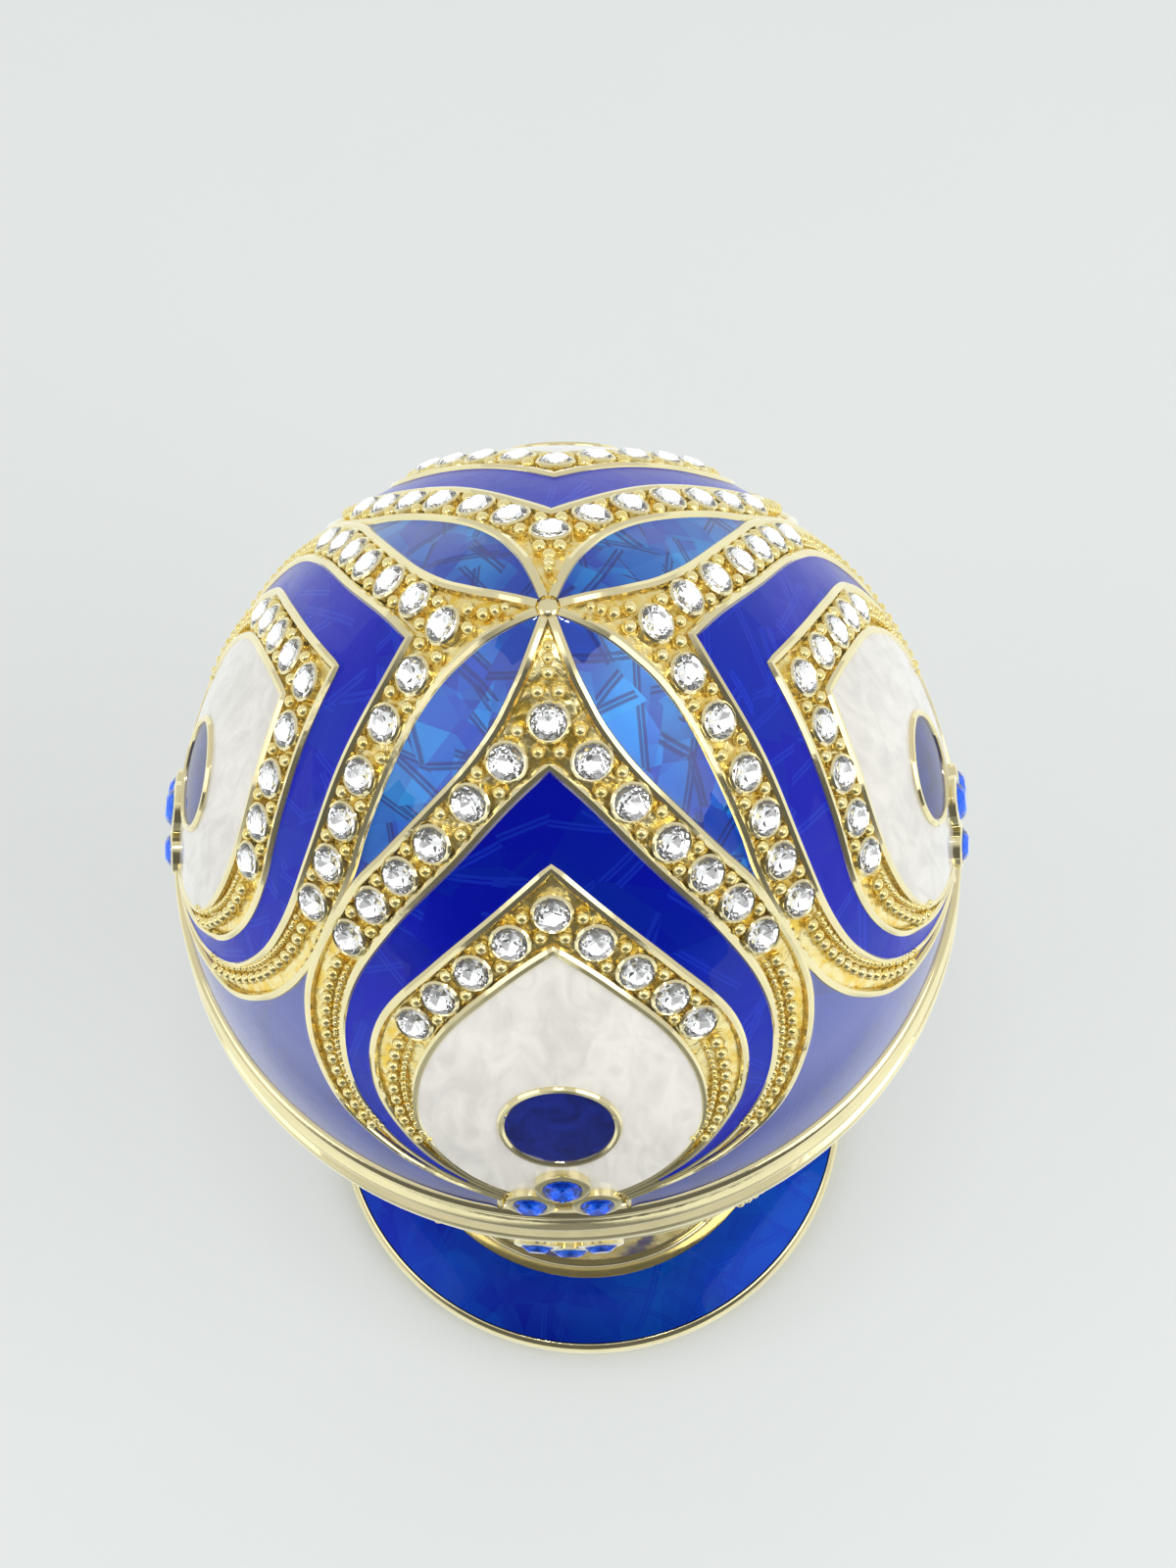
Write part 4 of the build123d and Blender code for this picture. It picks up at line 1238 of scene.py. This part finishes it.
def place_camera():
    """The photograph's camera, from its place, the point it looks at, and its roll."""
    stage = sizes("stage_settings")
    data = bpy.data.cameras.new("camera")
    data.sensor_fit = "VERTICAL"
    data.sensor_height = 36.0
    data.lens = stage.lens
    data.clip_start = 0.01
    camera = linked("camera", data)
    right = Vector(stage.camera_right).normalized()
    back = (Vector(stage.camera_place) - Vector(stage.camera_target)).normalized()
    right = (right - back * right.dot(back)).normalized()
    turned = Matrix((right, back.cross(right), back)).transposed().to_4x4()
    camera.matrix_world = Matrix.Translation(stage.camera_place) @ turned
    bpy.context.scene.camera = camera


def set_stage():
    power = sizes("stage_settings").lamp_power
    bpy.context.scene.view_settings.view_transform = "Standard"
    build_floor()
    light_world()
    area_lamp("key lamp", (0.30, -0.14, 0.37), 0.32, power)
    area_lamp("left lamp", (-0.31, -0.12, 0.35), 0.28, power * 0.45)
    for index, x in enumerate((-0.045, -0.015, 0.015, 0.045)):
        area_lamp(f"small lamp {index}", (x, -0.055, 0.52), 0.022, 0.06)
    place_camera()


class AddShells(bpy.types.Operator):
    """Model the hollow halves, their rims and the lip that guides the lid"""
    bl_idname = "egg_box.add_shells"
    bl_label = "Shells"

    def execute(self, context):
        model_shells()
        model_lip()
        return {"FINISHED"}


class AddWalls(bpy.types.Operator):
    """Model the gold walls between the cells and the nub on top"""
    bl_idname = "egg_box.add_walls"
    bl_label = "Gold Walls"

    def execute(self, context):
        model_walls()
        model_nub()
        return {"FINISHED"}


class AddPetals(bpy.types.Operator):
    """Model the azure petals between the arches"""
    bl_idname = "egg_box.add_petals"
    bl_label = "Petal Enamel"

    def execute(self, context):
        model_petals()
        return {"FINISHED"}


class AddArches(bpy.types.Operator):
    """Model the deep blue enamel of the arches and of the fields under them"""
    bl_idname = "egg_box.add_arches"
    bl_label = "Arch Enamel"

    def execute(self, context):
        model_chevrons()
        model_spandrels()
        return {"FINISHED"}


class AddDrops(bpy.types.Operator):
    """Model the pearl drops and their blue dots"""
    bl_idname = "egg_box.add_drops"
    bl_label = "Drops and Dots"

    def execute(self, context):
        model_drops()
        model_dots()
        return {"FINISHED"}


class AddStones(bpy.types.Operator):
    """Model the clear and blue stones with their collets"""
    bl_idname = "egg_box.add_stones"
    bl_label = "Stones"

    def execute(self, context):
        model_clear_stones()
        model_blue_stones()
        return {"FINISHED"}


class AddBeads(bpy.types.Operator):
    """Model the small cast beads"""
    bl_idname = "egg_box.add_beads"
    bl_label = "Beads"

    def execute(self, context):
        model_beads()
        return {"FINISHED"}


class AddStand(bpy.types.Operator):
    """Model the stem, the foot, its enamel and its felt"""
    bl_idname = "egg_box.add_stand"
    bl_label = "Stand"

    def execute(self, context):
        model_stem()
        model_foot()
        model_foot_ring()
        model_pad()
        return {"FINISHED"}


class DressMetal(bpy.types.Operator):
    """Give the hinge, the magnets and the screw their metals"""
    bl_idname = "egg_box.dress_metal"
    bl_label = "Hinge and Fastenings"

    def execute(self, context):
        dress_metal()
        return {"FINISHED"}


class SetStage(bpy.types.Operator):
    """Lay the floor and set the lights and the camera"""
    bl_idname = "egg_box.set_stage"
    bl_label = "Stage"

    def execute(self, context):
        set_stage()
        return {"FINISHED"}


STEPS = (AddShells, AddWalls, AddPetals, AddArches, AddDrops, AddStones, AddBeads, AddStand,
         DressMetal, SetStage)
GROUPS = {
    "egg_sizes": EggSizes, "cell_sizes": CellSizes, "stone_sizes": StoneSizes,
    "rim_sizes": RimSizes, "stand_sizes": StandSizes, "finishes": Finishes,
    "stage_settings": StageSettings,
}


class EggBoxPanel(bpy.types.Panel):
    """Lists the steps that build the egg box"""
    bl_idname = "VIEW3D_PT_egg_box"
    bl_label = "Enamelled Egg Box"
    bl_space_type = "VIEW_3D"
    bl_region_type = "UI"
    bl_category = "Egg Box"

    def draw(self, context):
        column = self.layout.column(align=True)
        for step in STEPS:
            column.operator(step.bl_idname)


CLASSES = (*GROUPS.values(), *STEPS, EggBoxPanel)


def register():
    for kind in CLASSES:
        bpy.utils.register_class(kind)
    for name, group in GROUPS.items():
        setattr(bpy.types.Scene, name, bpy.props.PointerProperty(type=group))


def unregister():
    for name in GROUPS:
        delattr(bpy.types.Scene, name)
    for kind in reversed(CLASSES):
        bpy.utils.unregister_class(kind)


def main():
    register()
    bpy.ops.egg_box.add_shells()
    bpy.ops.egg_box.add_walls()
    bpy.ops.egg_box.add_petals()
    bpy.ops.egg_box.add_arches()
    bpy.ops.egg_box.add_drops()
    bpy.ops.egg_box.add_stones()
    bpy.ops.egg_box.add_beads()
    bpy.ops.egg_box.add_stand()
    bpy.ops.egg_box.dress_metal()
    bpy.ops.egg_box.set_stage()
    bpy.context.view_layer.update()


if __name__ == "__main__":
    main()
